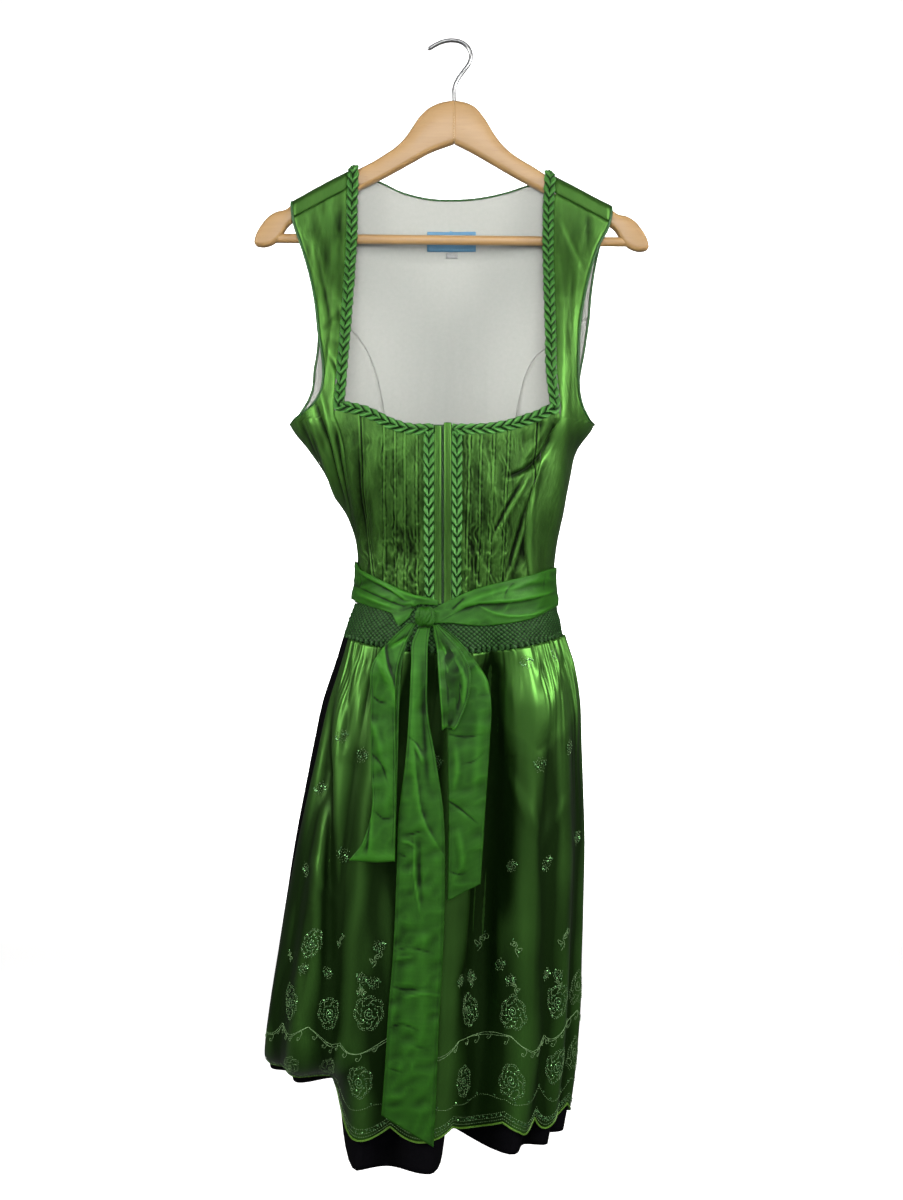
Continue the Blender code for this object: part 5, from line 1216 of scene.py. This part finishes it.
# motifs: x and drop seen from the front, size, turn (a sprig's lean); below, how far apart the
# flowers of a row lie, by the drop of the row
motifs = {
    "roses": [(-174.5, 1068, 17, 0.2), (-130, 1078, 16.5, 1.1), (-88.6, 1068, 18, 0.6),
              (-28, 1070, 17.5, 1.6), (17.4, 1070, 17.5, 0.1), (66.1, 1070, 18, 0.9), (114.9, 1065, 17, 1.4),
              (-97.1, 1142.5, 16.5, 0.4), (-39, 1144, 17, 1.3), (12.1, 1146.7, 17, 0.7),
              (65.1, 1144.6, 18, 0.0), (114.9, 1136, 17, 1.1), (-150, 1001, 15, 0.5)],
    "blossoms": [(-119.4, 777, 6.5, 0.2), (-95, 796, 7, 0.9), (-142.7, 835, 6.5, 0.5), (-116.2, 904, 7, 1.4),
                 (-158.6, 924, 6, 0.1), (-15.5, 803, 6.5, 0.7), (81, 697, 6.5, 0.3), (112.8, 691, 6, 1.2),
                 (94.8, 806.5, 7, 0.6), (128.7, 791.6, 6.5, 0.9), (102.2, 913.5, 7, 0.2),
                 (138.2, 893.4, 6, 1.5), (64, 913.5, 6, 0.4), (-76, 997, 6, 0.1), (-95, 1031, 5.5, 0.8),
                 (-82, 1035, 6, 0.3), (9, 1035, 5.5, 0.6), (19.5, 1037, 5.5, 1.1), (51.3, 1022.7, 6, 0.5),
                 (64, 1037, 5.5, 0.9), (102.2, 1033, 5.5, 0.3), (115, 1037, 5.5, 1.3),
                 (-158.6, 1029, 5.5, 0.6), (-133, 1031, 5.5, 0.2)],
    "sprigs": [(-120.5, 1004, 14, 1), (-84, 1020, 16, 1), (26, 1012, 20, 1), (70.5, 1012, 18, -1),
               (117, 1010, 20, 1), (-175, 1028, 15, -1), (-92, 1052, 12, -1), (-100, 1048, 10, 1),
               (22, 1050, 12, 1), (72, 1052, 14, -1), (118, 1052, 12, -1), (-30, 1010, 18, 1),
               (-36, 1050, 12, -1)],
    "pitch": {1068: 58, 1144: 58, 800: 150, 910: 140},
}

# painted light and shade on the apron's colour: a painted shadow close behind the bow, painted light along
# the gathers at the top, deeper painted shade with painted streaks in the lower half, and a darker disc round
# each flower
turn = np.degrees(apronTurn)
paintedShadowBehindBow = bump(turn + 12, 15) * within(apronDown, 662, 12, 880, 50)
paintedShadeLower = ease((apronDown - 750) / 200)
paintedShadeStreaks = softNoise(turn / 5, apronDown / 75, 101) + 0.6 * softNoise(turn / 11, apronDown / 34, 103)
shade = 1.25 * paintedShadowBehindBow - 0.2 * (1 - ease((apronDown - 700) / 110))
shade = shade + paintedShadeLower * (0.70 + 0.14 * ease((-turn - 30) / 25)) + 0.20 * paintedShadeStreaks * (0.4 + paintedShadeLower)
# a painted highlight on the full pouch under the right band, and painted shade below it
pouchEnd = 776 - 1.3 * np.abs(turn - 44)
paintedPouchHighlight, paintedShadeUnderPouch = within(apronDown, 655, 25, pouchEnd, 22), within(apronDown, pouchEnd, 24, 860, 90)
shade = shade + within(turn, 20, 9, 74, 12) * (0.42 * paintedShadeUnderPouch - 0.36 * paintedPouchHighlight)
# darker in a disc round each rose and blossom
for kind, dark in (("roses", 0.16), ("blossoms", 0.5)):
    for x, drop, size, _ in motifs[kind]:
        away = np.hypot(apronGrid[..., 0] - x, apronGrid[..., 2] + drop)
        shade = shade + dark * bump(away, size * 0.85) * (np.abs(turn) < 88)
sheetPiece("apronCloth", apronGrid, "apronSatin", ["apron"], wall=1.0,
           reaches=(1, 4, 12), shade=shade, step=2)
print("apron made")

# embroidery of the apron: places and lengths measured on the cloth itself
apronNormals = gridNormals(apronGrid)
apronNormals = apronNormals * -np.sign(apronNormals[:, 60:200, 1].mean())
stepDown = steps(apronGrid).mean()
apronRun = arcPlaces(apronGrid)[0]


def seenOnApron(x, drop):
    # row and column of the grid point seen from the front at x and drop
    miss = (apronGrid[..., 0] - x) ** 2 + (apronGrid[..., 2] + drop) ** 2
    miss = miss + 1e4 * (apronNormals[..., 1] > -0.25)
    return np.unravel_index(miss.argmin(), miss.shape)


def alongCloth(anchor, offsets):
    # grid places that lie across and down from an anchor, by arc length in its own row
    last = apronRun.shape[1] - 1
    rowAt = np.clip(anchor[0] + offsets[:, 1] / stepDown, 0, apron["rows"] - 1.001)
    line = apronRun[np.rint(rowAt).astype(int)]
    goal = line[:, int(anchor[1])] + offsets[:, 0]
    j = np.clip((line < goal[:, None]).sum(axis=1), 1, last)[:, None]
    low, high = np.take_along_axis(line, j - 1, 1)[:, 0], np.take_along_axis(line, j, 1)[:, 0]
    return np.stack([rowAt, np.clip(j[:, 0] - 1 + (goal - low) / (high - low), 0, last - 0.001)], -1)


def onApron(places, rise):
    # points and normals of the apron at fractional rows and columns, blended from four neighbours
    i, j = np.floor(places).astype(int).T
    f, g = (places - np.stack([i, j], -1)).T[..., None]
    point, normal = [mix(mix(table[i, j], table[i, j + 1], g),
                         mix(table[i + 1, j], table[i + 1, j + 1], g), f)
                     for table in (apronGrid, apronNormals)]
    normal = unitWays(normal)
    return point + normal * rise, normal


def polar(reach, angle):
    return np.stack([reach * np.cos(angle), reach * np.sin(angle)], -1)


def lobedRing(radius, lobes, depth, turn, count=48):
    # a closed ring of round lobes: the radius swells between each two notches
    angle = np.linspace(0, 2 * np.pi, count)
    return polar(radius * (1 - depth + depth * np.abs(np.sin(lobes * angle / 2 + turn)) ** 0.7), angle)


def curl(centre, radius, turns, start, count=20):
    # a spiral that closes in on its centre
    share = np.linspace(0, 1, count)
    return np.array(centre) + polar(radius * (1 - 0.85 * share), start + turns * 2 * np.pi * share)


def rose(radius, turn):
    # a full rose: two lobed outlines, an inner ring, a wound heart and petal arcs
    bend = np.linspace(0, 1, 6)
    lines = [lobedRing(radius, 7, 0.16, turn), lobedRing(radius * 0.88, 7, 0.17, turn + 0.1),
             lobedRing(radius * 0.58, 5, 0.22, turn + 0.8, 34), curl((0, 0), radius * 0.36, 1.8, turn, 26),
             *[polar(radius * (0.55 + 0.27 * bend), (k + 0.5) * 2 * np.pi / 7 - turn * 2 / 7 + 0.35 * bend**2)
               for k in range(7)]]
    return [line * [0.92, 1.08] for line in lines]


def blossom(radius, turn):
    # a small flower of close specks: an even spiral filling five petals
    k = np.arange(34)
    angle = 2.4 * k + turn
    petals = 0.78 + 0.22 * np.abs(np.cos(2.5 * angle + turn))
    return polar(1.3 * radius * np.sqrt((k + 0.5) / 34) * petals, angle)


def sprig(size, lean):
    # a bent stem and two leaves, drawn at size 1, and a curl at its tip
    lines = [([(0, 0), (0.25, 0.35), (0.1, 0.7), (0.5, 1)], 14),
             ([(0.2, 0.4), (-0.2, 0.62), (-0.1, 0.4), (0.2, 0.4)], 10),
             ([(0.12, 0.66), (0.42, 0.62), (0.36, 0.8), (0.12, 0.66)], 10)]
    return [*[smoothLine(np.array(points) * [lean * size, -size], count) for points, count in lines],
            curl((lean * size * 0.5, -size * 0.82), size * 0.18, 1.2, -1.6, 12)]


threads, stitches, specks, sequins = [], [], [], []


def addRose(anchor, radius, turn):
    # its outlines are stitched, its heart and petals drawn in thread
    places = [alongCloth(anchor, line) for line in rose(radius, turn)]
    stitches.extend(places[:3])
    threads.extend(places[3:])


for x, drop, radius, turn in motifs["roses"]:
    anchor = seenOnApron(x, drop)
    addRose(anchor, radius, turn)
    lines = rose(radius, turn)
    sequins += [alongCloth(anchor, line[::3] * 0.94) for line in (lines[0], lines[2], lines[3])]
for x, drop, radius, turn in motifs["blossoms"]:
    specks.append(alongCloth(seenOnApron(x, drop), blossom(radius, turn)))
    sequins.append(specks[-1][2::4])
for x, drop, size, lean in motifs["sprigs"]:
    anchor = seenOnApron(x, drop)
    threads += [alongCloth(anchor, line) for line in sprig(size, lean)]
    sequins.append(alongCloth(anchor, np.array([(0, -size * 0.3), (lean * size * 0.4, -size * 1.08)])))
# the same rows run on over the parts that hang out of sight at the sides
for level, pitch in motifs["pitch"].items():
    kind, size = ("roses", 17) if level > 1050 else ("blossoms", 6.5)
    near = [seenOnApron(x, drop) for x, drop, *_ in motifs[kind] if abs(drop - level) < 40]
    row = int(np.mean([place[0] for place in near]))
    at = sorted(apronRun[row, column] for _, column in near)
    more = np.concatenate([np.arange(at[0] - pitch, size + 4, -pitch),
                           np.arange(at[-1] + pitch, apronRun[row, -1] - size - 4, pitch)])
    for k, run in enumerate(more):
        anchor = (row, np.searchsorted(apronRun[row], run))
        if kind == "blossoms":
            specks.append(alongCloth(anchor, blossom(size, 0.4 * k)))
        else:
            addRose(anchor, size, 0.4 * k)

# the vine over the lower roses, its curls, the looped line under them and the rows along the hem
columnsAt = np.linspace(1, apronRun.shape[1] - 2, 900)
hemRow = apron["rows"] - 1


def hemLine(above):
    return np.stack([np.clip(hemRow - above / stepDown, 0, hemRow - 0.01) + 0 * columnsAt, columnsAt], -1)


seenX = np.interp(columnsAt, np.arange(apronRun.shape[1]), apronGrid[int(hemRow - 98 / stepDown), :, 0])
vine = 98 + 6.5 * np.cos((seenX - 38) * 2 * np.pi / 98) + 1.5 * np.sin(seenX / 17)
threads += [hemLine(vine), hemLine(vine - 1.6 + 1.4 * np.sin(seenX / 9))]
for k, at in enumerate(np.arange(6, 894, 22)):
    reach = 6.5 + 1.5 * np.sin(k * 2.3)
    line = np.concatenate([smoothLine([(0, 0), (2.5, reach * 0.5), (0.5, reach)], 8),
                           curl((-1.8, reach), 2.6, 1.2, 0, 12)])
    threads.append(alongCloth((hemRow - vine[at] / stepDown, columnsAt[at]), line))
loops = 31 + 5.5 * np.cos((seenX - 38) * 2 * np.pi / 59)
stitches += [hemLine(above) for above in (loops, 4.5, 8.0, 12.5)]
sequins += [hemLine(loops + 2.5)[::24],
            hemLine(10.2 + 1.2 * np.sin(columnsAt / apron["perFold"] * 54))[::5]]


def evenStitches(places, pitch, least, rise):
    # points and normals of even stitches along a line on the cloth
    points, normals = onApron(places, rise)
    return evenLine(points, normals, max(int(steps(points).sum() / pitch), least))


stitched = [evenStitches(places, 2.5, 3, 0.55) for places in stitches]
dots, dotsFacing = onApron(np.concatenate(specks), 0.45)
dotsAhead = np.stack([softNoise(np.arange(len(dots)) * 1.3, 0.5 + k, 87) for k in range(3)], -1) + 0.01
where = np.concatenate([*[points for points, _ in stitched], dots])
ahead = np.concatenate([*[np.gradient(points, axis=0) for points, _ in stitched], dotsAhead])
facing = np.concatenate([*[normals for _, normals in stitched], dotsFacing])
ride(meshPiece("apronStitches", *scatter(*grain(4, 1), where, ahead, facing, (1.0, 0.36, 0.30)), "thread"),
     ())
# threads in one piece, their ends drawn to a point
points, faces, count = [], [], 0
for places in threads:
    path, normals = evenStitches(places, 1.6, 5, 0.5)
    width = np.full(len(path), 0.27)
    width[[0, -1]] = 0.27 * 0.15
    tube, tubeFaces = tubeAlong(path, normals, width, 4)
    points.append(tube)
    faces.append(tubeFaces + count)
    count += len(tube)
ride(meshPiece("apronThreads", np.concatenate(points), np.concatenate(faces), "thread"), ())
# sequins: a domed six-sided disc each
where, facing = onApron(np.concatenate(sequins), 0.7)
turn = np.linspace(0, 2 * np.pi, 6, endpoint=False)
unit = np.concatenate([np.stack([r * np.cos(turn), r * np.sin(turn), np.full(6, h)], -1)
                       for r, h in ((0.3, 0.35), (1.0, 0.10), (0.3, 0.0))])
unitFaces = np.concatenate([gridFaces(3, 6, wrap=True),
                            [[12 + k, k, (k + 1) % 6, 12 + (k + 1) % 6] for k in range(6)]])
facing = facing + np.stack([softNoise(np.arange(len(where)) * 1.7, 0.5 + k, 83) for k in range(3)], -1) * 0.55
ahead = np.cross(facing, [0.3, 0.2, 1.0])
closedPiece("apronSequins", *scatter(unit, unitFaces, where, ahead, facing, (1.15, 1.15, 1.2)), "sequin", ())
# the overcast edge: a thick row of slanting stitches round the scallops
path, normals = evenLine(*onApron(hemLine(0.4), 0.2), 1300)
edgeWide = 1 + 0.10 * np.sin(np.arange(1300) * 2.2)
closedPiece("apronEdge", *tubeAlong(path, normals, edgeWide, 6), "edgeThread", ())
print("embroidery made:", len(stitches), "stitched rows,", len(threads), "threads")

# smocked waistband: rows of little diamonds pulled together by stitches, and the frill of
# flutes under its last row
band = {"from": -74, "to": 104, "columns": 600, "rows": 60, "cellAcross": 2.7, "cellDown": 4.7}
angles = np.radians(np.linspace(band["from"], band["to"], band["columns"]))[None, :]
share = alongColumn(band["rows"])
drop = apron["bandTop"] + (bandHem(angles) - apron["bandTop"]) * share
run = np.cumsum(np.r_[0, steps(bodyGrid(angles, drop)[30])])[None, :]
wander = 0.35 * softNoise(run / 14, drop / 11, 19)
u, v = run / band["cellAcross"] + wander, (drop - apron["bandTop"]) / band["cellDown"] + 0.5 * wander
diamond = np.abs(np.sin(np.pi * (u / 2 + v))) * np.abs(np.sin(np.pi * (u / 2 - v)))
cells = 1.5 * diamond**0.5 * (0.8 + 0.2 * softNoise(u, v * 2, 9))
flutes = np.abs(np.sin(np.pi * (run / 6.6 + 0.35 * softNoise(run / 9, 0.5, 23))))
frill = 2.6 * ease((share - 0.82) / 0.18) * (flutes - 0.45)
drop = drop + 2.2 * ease((share - 0.9) / 0.1) * (flutes - 0.6)
sagging = 1.2 * bump(share - 0.55, 0.35) + 0.5 * softNoise(run / 40, drop / 20, 29)
cells = cells * (1 - 0.6 * ease((share - 0.86) / 0.14)) + sagging
sheetPiece("smockedBand", bodyGrid(angles, drop, 1.7 + cells + frill), "bandSatin",
           ["apron_waistband"], wall=0.9, reaches=(1, 2))

# sash: x, upper drop and lower drop of each band, its creases; how far out it lies over bodice
# and waistband
sash = {
    "left": [(-200, 583, 630), (-109, 582, 628), (-99, 595, 633), (-87, 602, 637), (-60, 615, 645),
             (-39.8, 624, 651), (-37, 625, 641), (-33, 625.6, 636.4), (-26, 627, 635.8),
             (-19, 629, 636), (-12.6, 631, 636.8)],
    "right": [(-16, 640, 656), (2, 629, 656), (21, 620, 658), (48, 612, 657), (84, 603, 651),
              (112, 594, 638), (200, 588, 634)],
    "out": (2.15, 4.35), "wall": 1.0, "rows": 42,
    "creasesLeft": [(2.4, 0.5, "step", -36, 640, -65, 619, -89, 606, -108, 592),
                    (-1.6, 1.2, "sharp", -108, 612, -80, 625, -52, 637, -38, 640),
                    (1.2, 2.4, -104, 620, -80, 632, -56, 641), (1.0, 2.0, -60, 617, -40, 626, -20, 631),
                    (-0.8, 1.2, "sharp", -98, 600, -96, 610, -98, 618)],
    "creasesRight": [(3.2, 0.5, "step", 112, 620, 84, 629, 51, 634, 28, 635, 12, 640, 2, 646),
                     (1.7, 1.4, "sharp", 28, 637, 41, 644, 57, 648, 88, 646, 112, 634),
                     (1.3, 3.4, 110, 604, 70, 614, 34, 625, 8, 638),
                     (-1.0, 1.0, "sharp", 66, 611, 57, 620, 54, 630), (-1.2, 1.6, 14, 628, 0, 642),
                     (-0.6, 1.4, "sharp", 100, 600, 96, 622)],
    "creasesBack": [(2.0, 0.6, "step", 440, 600, 340, 606, 240, 598, 160, 604),
                    (-1.4, 1.4, "sharp", 150, 618, 230, 622, 330, 616, 440, 624),
                    (1.0, 3.0, 180, 610, 300, 614, 420, 608)],
}


def bandLift(drop):
    return sash["out"][0] + (sash["out"][1] - sash["out"][0]) * ease((drop - 612) / 16) + 1.2


def sashPiece(title, angles, upper, lower, seed):
    # a band across: its folds run along it, some as edges of cloth lying over cloth; small crumples in
    # between, and a swell across its middle; the cloth is doubled along both edges
    share = alongColumn(sash["rows"])
    drop = mix(upper[None, :], lower[None, :], share)
    angle = np.broadcast_to(angles[None, :], drop.shape)
    x = bodyGrid(angle, drop)[..., 0] if np.abs(np.degrees(angles)).max() < 95 else angle * 95
    lift = bandLift(drop) + creaseField(x, drop, sash["creases" + title])
    lift = lift + 0.9 * np.clip(1 - (2 * share - 1) ** 2, 0, 1) ** 0.5
    lift = lift + 0.5 * softNoise(x / 16, (drop + 0.25 * x) / 7, seed)
    lift = lift - 0.5 * np.abs(softNoise(x / 11 + drop / 30, drop / 9, seed + 4))
    sheetPiece("sash" + title, bodyGrid(angle, drop, np.maximum(lift, bandLift(drop) - 0.2)), "taffeta",
               wall=sash["wall"])


centre, half, _, _ = girthAt(np.array(615.0))
x = np.concatenate([(centre + half * np.sin(np.radians(np.linspace(-90, -27, 150))))[:-1],
                    np.linspace(-39.8, -12.6, 60)])
sashPiece("Left", angleOf(x, 615.0), track(sash["left"], 1, x), track(sash["left"], 2, x), 31)
angles = np.radians(np.linspace(-11.4, 90, 220))
x = centre + half * np.sin(angles)
sashPiece("Right", angles, track(sash["right"], 1, x), track(sash["right"], 2, x), 33)
angles = np.radians(np.linspace(90, 270, 220))
upper = 593 - 6 * (1 - np.cos(angles - np.pi / 2)) / 2
sashPiece("Back", angles, upper, upper + 44, 35)

# the bow's ribbons: left x, right x, drop and y of each row along each; stations along it, seed,
# how far the cut end slants, how the middle swells and the share of its length that is seen
ribbons = {
    "bowLoopLeft": {
        "stations": 250, "seed": 41, "cut": (0.0, 0.0), "slack": 1.0, "front": 0.47,
        "rows": [(-46, -37.2, 655.0, -98.5), (-58, -44, 666, -104), (-71, -50, 680, -112),
                 (-82, -55, 696, -117), (-84, -58.5, 740, -118), (-84, -58, 800, -119), (-84, -58, 855, -119),
                 (-96, -58.8, 888, -119), (-107, -59, 903, -117), (-106, -59, 903.5, -113),
                 (-94, -58.5, 886, -110.5), (-82, -57.5, 850, -110), (-80, -56, 790, -110),
                 (-79, -54.5, 735, -109.5), (-76, -52, 697, -107.5), (-62, -47, 676, -103),
                 (-47, -40, 663.5, -95.5)],
        "creases": [(4.2, 0.6, "step", -68, 664, -70, 678, -67, 698, -60, 719, -58, 745),
                    (-1.6, 1.2, "sharp", -83, 730, -75, 736, -66, 738),
                    (1.6, 4.0, -86, 752, -78, 770, -72, 800),
                    (2.8, 0.6, "step", -88, 905, -85, 870, -82, 826),
                    (2.2, 2.4, -64, 682, -52, 674, -41, 668), (-1.8, 2.0, -60, 676, -50, 668, -42, 661),
                    (1.8, 3.0, -78, 690, -72, 700, -66, 716),
                    (-1.0, 1.4, "sharp", -80, 850, -70, 858, -60, 856),
                    (-1.2, 1.6, "sharp", -84, 790, -74, 800, -66, 822),
                    (1.2, 5.0, -70, 760, -66, 800, -68, 860), (1.2, 2.5, -98, 896, -90, 880, -84, 856)],
    },
    "bowLoopRight": {
        "stations": 200, "seed": 43, "cut": (0.0, 0.0), "slack": -3.4, "front": 0.44,
        "rows": [(-20, -14.5, 656.6, -99), (-17, -4, 668, -107), (-15, 10, 684, -117), (-14, 19, 702, -121.5),
                 (-12.5, 19, 725, -122.5), (-10.5, 11, 750, -121.5), (-9.5, 3, 766, -119.5),
                 (-9.5, 2, 767, -116.5), (-10.5, 9, 750, -115.2), (-12, 16, 725, -115),
                 (-13.5, 16, 702, -114.5), (-15, 6, 684, -109), (-18, -6, 671, -100.5),
                 (-20, -14, 664.5, -96)],
        "creases": [(2.2, 1.2, "sharp", -12, 672, -2, 693, 6, 714, 11, 735),
                    (-2.4, 2.6, -4, 675, -2, 698, 7, 717, 6, 748),
                    (1.6, 1.4, "sharp", -13, 698, -11, 724, -9, 764),
                    (-1.4, 1.4, "sharp", -8, 684, -5, 710, -3, 745), (1.6, 2.2, 4, 690, 13, 712, 12, 740)],
    },
    "tailCentre": {
        "stations": 250, "seed": 45, "cut": (-11.0, 22.0), "slack": 1.0, "front": 1.0,
        "rows": [(-35, -22.5, 659.7, -98), (-41, -24.5, 674, -104), (-42.5, -25, 700, -110),
                 (-44.5, -25, 745, -112), (-48.5, -16, 800, -113), (-55, -8.5, 852, -113.5),
                 (-57.5, -7, 920, -113.5), (-61, -9, 1000, -113), (-66, -12.5, 1060, -113),
                 (-70, -16, 1132, -112.5), (-73.5, -19, 1181, -112)],
        "creases": [(2.4, 0.6, "step", -40, 775, -36, 820, -29, 860, -11, 892),
                    (-1.5, 2.6, -33.5, 880, -34, 915, -31, 950), (0.9, 1.2, -38, 874, -39, 915, -33, 958),
                    (-1.5, 1.2, "sharp", -54, 876, -42, 875, -30, 871),
                    (1.2, 1.6, -53, 882, -44, 884, -38, 888), (-1.0, 1.0, "sharp", -55, 896, -46, 899),
                    (-1.6, 1.0, "sharp", -45, 773, -38, 779, -33, 787),
                    (1.4, 1.8, -40, 776, -34, 790, -30, 800), (2.0, 5.0, -38, 674, -41, 751, -38, 829),
                    (-1.6, 3.4, -30, 690, -29, 760, -24, 830),
                    (-1.2, 1.3, "sharp", -62, 998, -45, 994, -20, 999), (1.0, 1.8, -60, 1006, -40, 1003),
                    (-1.2, 1.2, "sharp", -64, 1034, -48, 1038, -30, 1036),
                    (0.9, 1.6, -50, 1046, -30, 1042, -12, 1044),
                    (-1.2, 1.3, "sharp", -66, 1078, -52, 1074, -34, 1080),
                    (-0.9, 1.2, "sharp", -40, 1096, -24, 1100), (-0.9, 1.2, "sharp", -68, 1120, -50, 1124),
                    (1.2, 7.0, -30, 960, -30, 1040, -34, 1120), (-1.0, 6.0, -50, 930, -54, 1020, -60, 1120)],
    },
    "tailRight": {
        "stations": 200, "seed": 47, "cut": (9.0, -9.0), "slack": 1.0, "front": 1.0,
        "rows": [(-21.5, -13, 656.8, -93.4), (-12, 2, 668, -93.4), (-6.5, 25, 694, -101.5),
                 (-5, 38.5, 716, -106.5), (-4.5, 41.5, 738, -109), (-3.5, 40, 780, -109.5),
                 (-3, 35, 855, -110), (-4, 30.5, 937, -109.5)],
        "creases": [(-1.4, 1.0, "sharp", -13, 835, 6, 847, 27, 864),
                    (-1.3, 1.2, "sharp", -8, 770, 14, 774, 35, 771),
                    (3.0, 0.5, "step", 26, 698, 37, 714, 40, 730), (1.4, 5.0, 30, 735, 28, 780, 24, 840),
                    (1.2, 3.0, 4, 780, 6, 810, 2, 832), (-1.0, 1.2, "sharp", -2, 915, 8, 918, 16, 916),
                    (1.2, 4.0, 6, 868, 10, 890, 12, 915), (-0.9, 1.2, "sharp", 34, 790, 22, 800, 10, 802)],
    },
}
ribbonColumns = 26
for name, ribbon in ribbons.items():
    # a flat ribbon through its rows, the last row cut to a slant; the creases fan out from the
    # knot, small crumples break its light, and a narrow stitched hem edges it
    line = smoothLine(ribbon["rows"], ribbon["stations"])
    t, s = alongColumn(ribbon["stations"]), alongRow(ribbonColumns)
    left, right = [np.stack([line[:, k], line[:, 3], -line[:, 2]], -1)
                   - np.array([0, 0, cut]) * ease((t - 0.8) / 0.2) for k, cut in enumerate(ribbon["cut"])]
    points = mix(left[:, None], right[:, None], s[..., None])
    normals = gridNormals(points)
    normals = -normals if normals[ribbon["stations"] // 3, 0, 1] > 0 else normals
    shown = 1 - ease((t - ribbon["front"]) / 0.04)
    x, drop = points[..., 0], -points[..., 2]
    height = ribbon["slack"] * np.sin(np.pi * s) * ease(t * 8) * ease((1 - t) * 8)
    height = height + creaseField(x, drop, ribbon["creases"]) * shown * ease(t * 10)
    height = height + 0.7 * softNoise(x / 15, drop / 10 + x / 60, ribbon["seed"]) * ease(t * 6)
    height = height - 0.6 * np.abs(softNoise(x / 12 + drop / 40, drop / 13, ribbon["seed"] + 3)) * ease(t * 6)
    away = np.minimum(s, 1 - s) * np.linalg.norm(right - left, axis=-1)[:, None]
    height = height - 0.35 * bump(away - 2.2, 0.7) + 0.15 * bump(away - 1.0, 0.8)
    sheetPiece(name, points + normals * height[..., None], "taffeta", wall=0.7, step=1)

# the knot: a barrel of cloth pulled in at both ends, its wraps as ridges running over it
knot = {"at": (-28, -97.7, -648.2), "half": (10.0, 8.0, 9.8), "rings": 60, "around": 80}
tilt = np.linspace(0.04, np.pi - 0.04, knot["rings"])[:, None]
turn = np.linspace(0, 2 * np.pi, knot["around"], endpoint=False)[None, :]
swirl = turn + 0.35 * np.sin(tilt * 1.5) + 0.12 * softNoise(tilt * 3, turn, 21)
wraps = 1 + 0.10 * (np.abs(np.sin(2.5 * swirl + 0.4)) - 0.5)
wraps = wraps + 0.06 * np.sin(11 * swirl) + 0.03 * np.sin(23 * swirl + 1)
across = np.sin(tilt) ** 0.45 * wraps
points = np.stack([across * np.cos(turn), -across * np.sin(turn),
                   np.cos(tilt) * (1 + 0.08 * np.sin(3 * turn))], -1) * knot["half"] + knot["at"]
closedPiece("bowKnot", points.reshape(-1, 3), gridFaces(*points.shape[:2], wrap=True), "taffeta")
print("sash and bow made")

# stage: a seamless pale sweep, soft lamps, the camera
stage = {"floor": -1.50, "flat": 3.2, "bend": 1.4, "height": 5.0, "glow": 0.7, "rings": 40, "around": 96}
along = np.linspace(0, 1, stage["rings"])
turn = np.clip((along - 0.3) / 0.4, 0, 1) * np.pi / 2
reach = np.where(along < 0.3, 0.002 + along / 0.3 * stage["flat"],
                 stage["flat"] + stage["bend"] * np.sin(turn))
rise = stage["bend"] * (1 - np.cos(turn)) + np.clip((along - 0.7) / 0.3, 0, 1) * stage["height"]
around = np.linspace(0, 2 * np.pi, stage["around"], endpoint=False)[None, :]
sweep = np.stack([reach[:, None] * np.sin(around), reach[:, None] * np.cos(around),
                  rise[:, None] + stage["floor"] + 0 * around], -1) / mm
finish["paleSweep"], nodes, shader = newMaterial("paleSweep", (0.93, 0.93, 0.93), 0.9,
                                                 Emission_Color=(1, 1, 1, 1), Emission_Strength=stage["glow"])
feed(shader, Base_Color=colourMix(nodes, noise(nodes, (2, 2, 2)), (0.90, 0.90, 0.90), (0.95, 0.95, 0.95)))
floor = meshPiece("floor", sweep.reshape(-1, 3), gridFaces(*sweep.shape[:2], wrap=True), "paleSweep")
# the sweep shows behind the dress but casts no glare on its satin
floor.visible_glossy = False
floor.visible_diffuse = False


def lamp(name, place, target, size, power, colour=(1, 1, 1), spread=180, glossy=True):
    light = bpy.data.lights.new(name, "AREA")
    light.shape = "DISK"
    light.size = size
    light.energy = power
    light.color = colour
    light.spread = math.radians(spread)
    item = bpy.data.objects.new(name, light)
    item.location = place
    item.rotation_euler = (Vector(target) - Vector(place)).to_track_quat("-Z", "Y").to_euler()
    item.visible_glossy = glossy
    bpy.context.scene.collection.objects.link(item)


lamp("softboxLeft", (-1.5, -1.05, 0.05), (0, 0, -0.6), 0.8, 25, (1.0, 0.98, 0.95))
lamp("softboxRight", (1.5, -1.0, 0.10), (0, 0, -0.6), 0.8, 31, (1.0, 0.98, 0.95))
lamp("fill", (0.1, -1.9, 0.5), (0, 0, -0.6), 0.6, 9)
lamp("softFill", (0.0, -2.3, -0.55), (0, 0, -0.6), 2.2, 38, glossy=False)
lamp("neckFill", (0.0, -1.5, -0.32), (0, 0, -0.32), 0.5, 1.5, spread=40, glossy=False)
lamp("backFill", (0.0, 2.4, -0.4), (0, 0, -0.65), 1.4, 16, spread=56, glossy=False)
lamp("wallLeft", (-1.8, 1.6, 0.9), (0, 4.6, -0.6), 1.0, 66, spread=96, glossy=False)
lamp("wallRight", (1.8, 1.6, 0.9), (0, 4.6, -0.6), 1.0, 66, spread=96, glossy=False)
world = bpy.data.worlds.new("studio")
bpy.context.scene.world = world
world.use_nodes = True
feed(world.node_tree.nodes["Background"], Color=(1, 1, 1, 1), Strength=0.10)
bpy.context.scene.view_settings.view_transform = "Standard"

camera = bpy.data.cameras.new("camera")
camera.lens = 39.81
camera.sensor_width = 36
camera.sensor_fit = "AUTO"
cameraItem = bpy.data.objects.new("camera", camera)
cameraItem.location = (0, -1.5, -0.6305)
cameraItem.rotation_euler = (math.radians(90), 0, 0)
bpy.context.scene.collection.objects.link(cameraItem)
bpy.context.scene.camera = cameraItem
print("stage set")
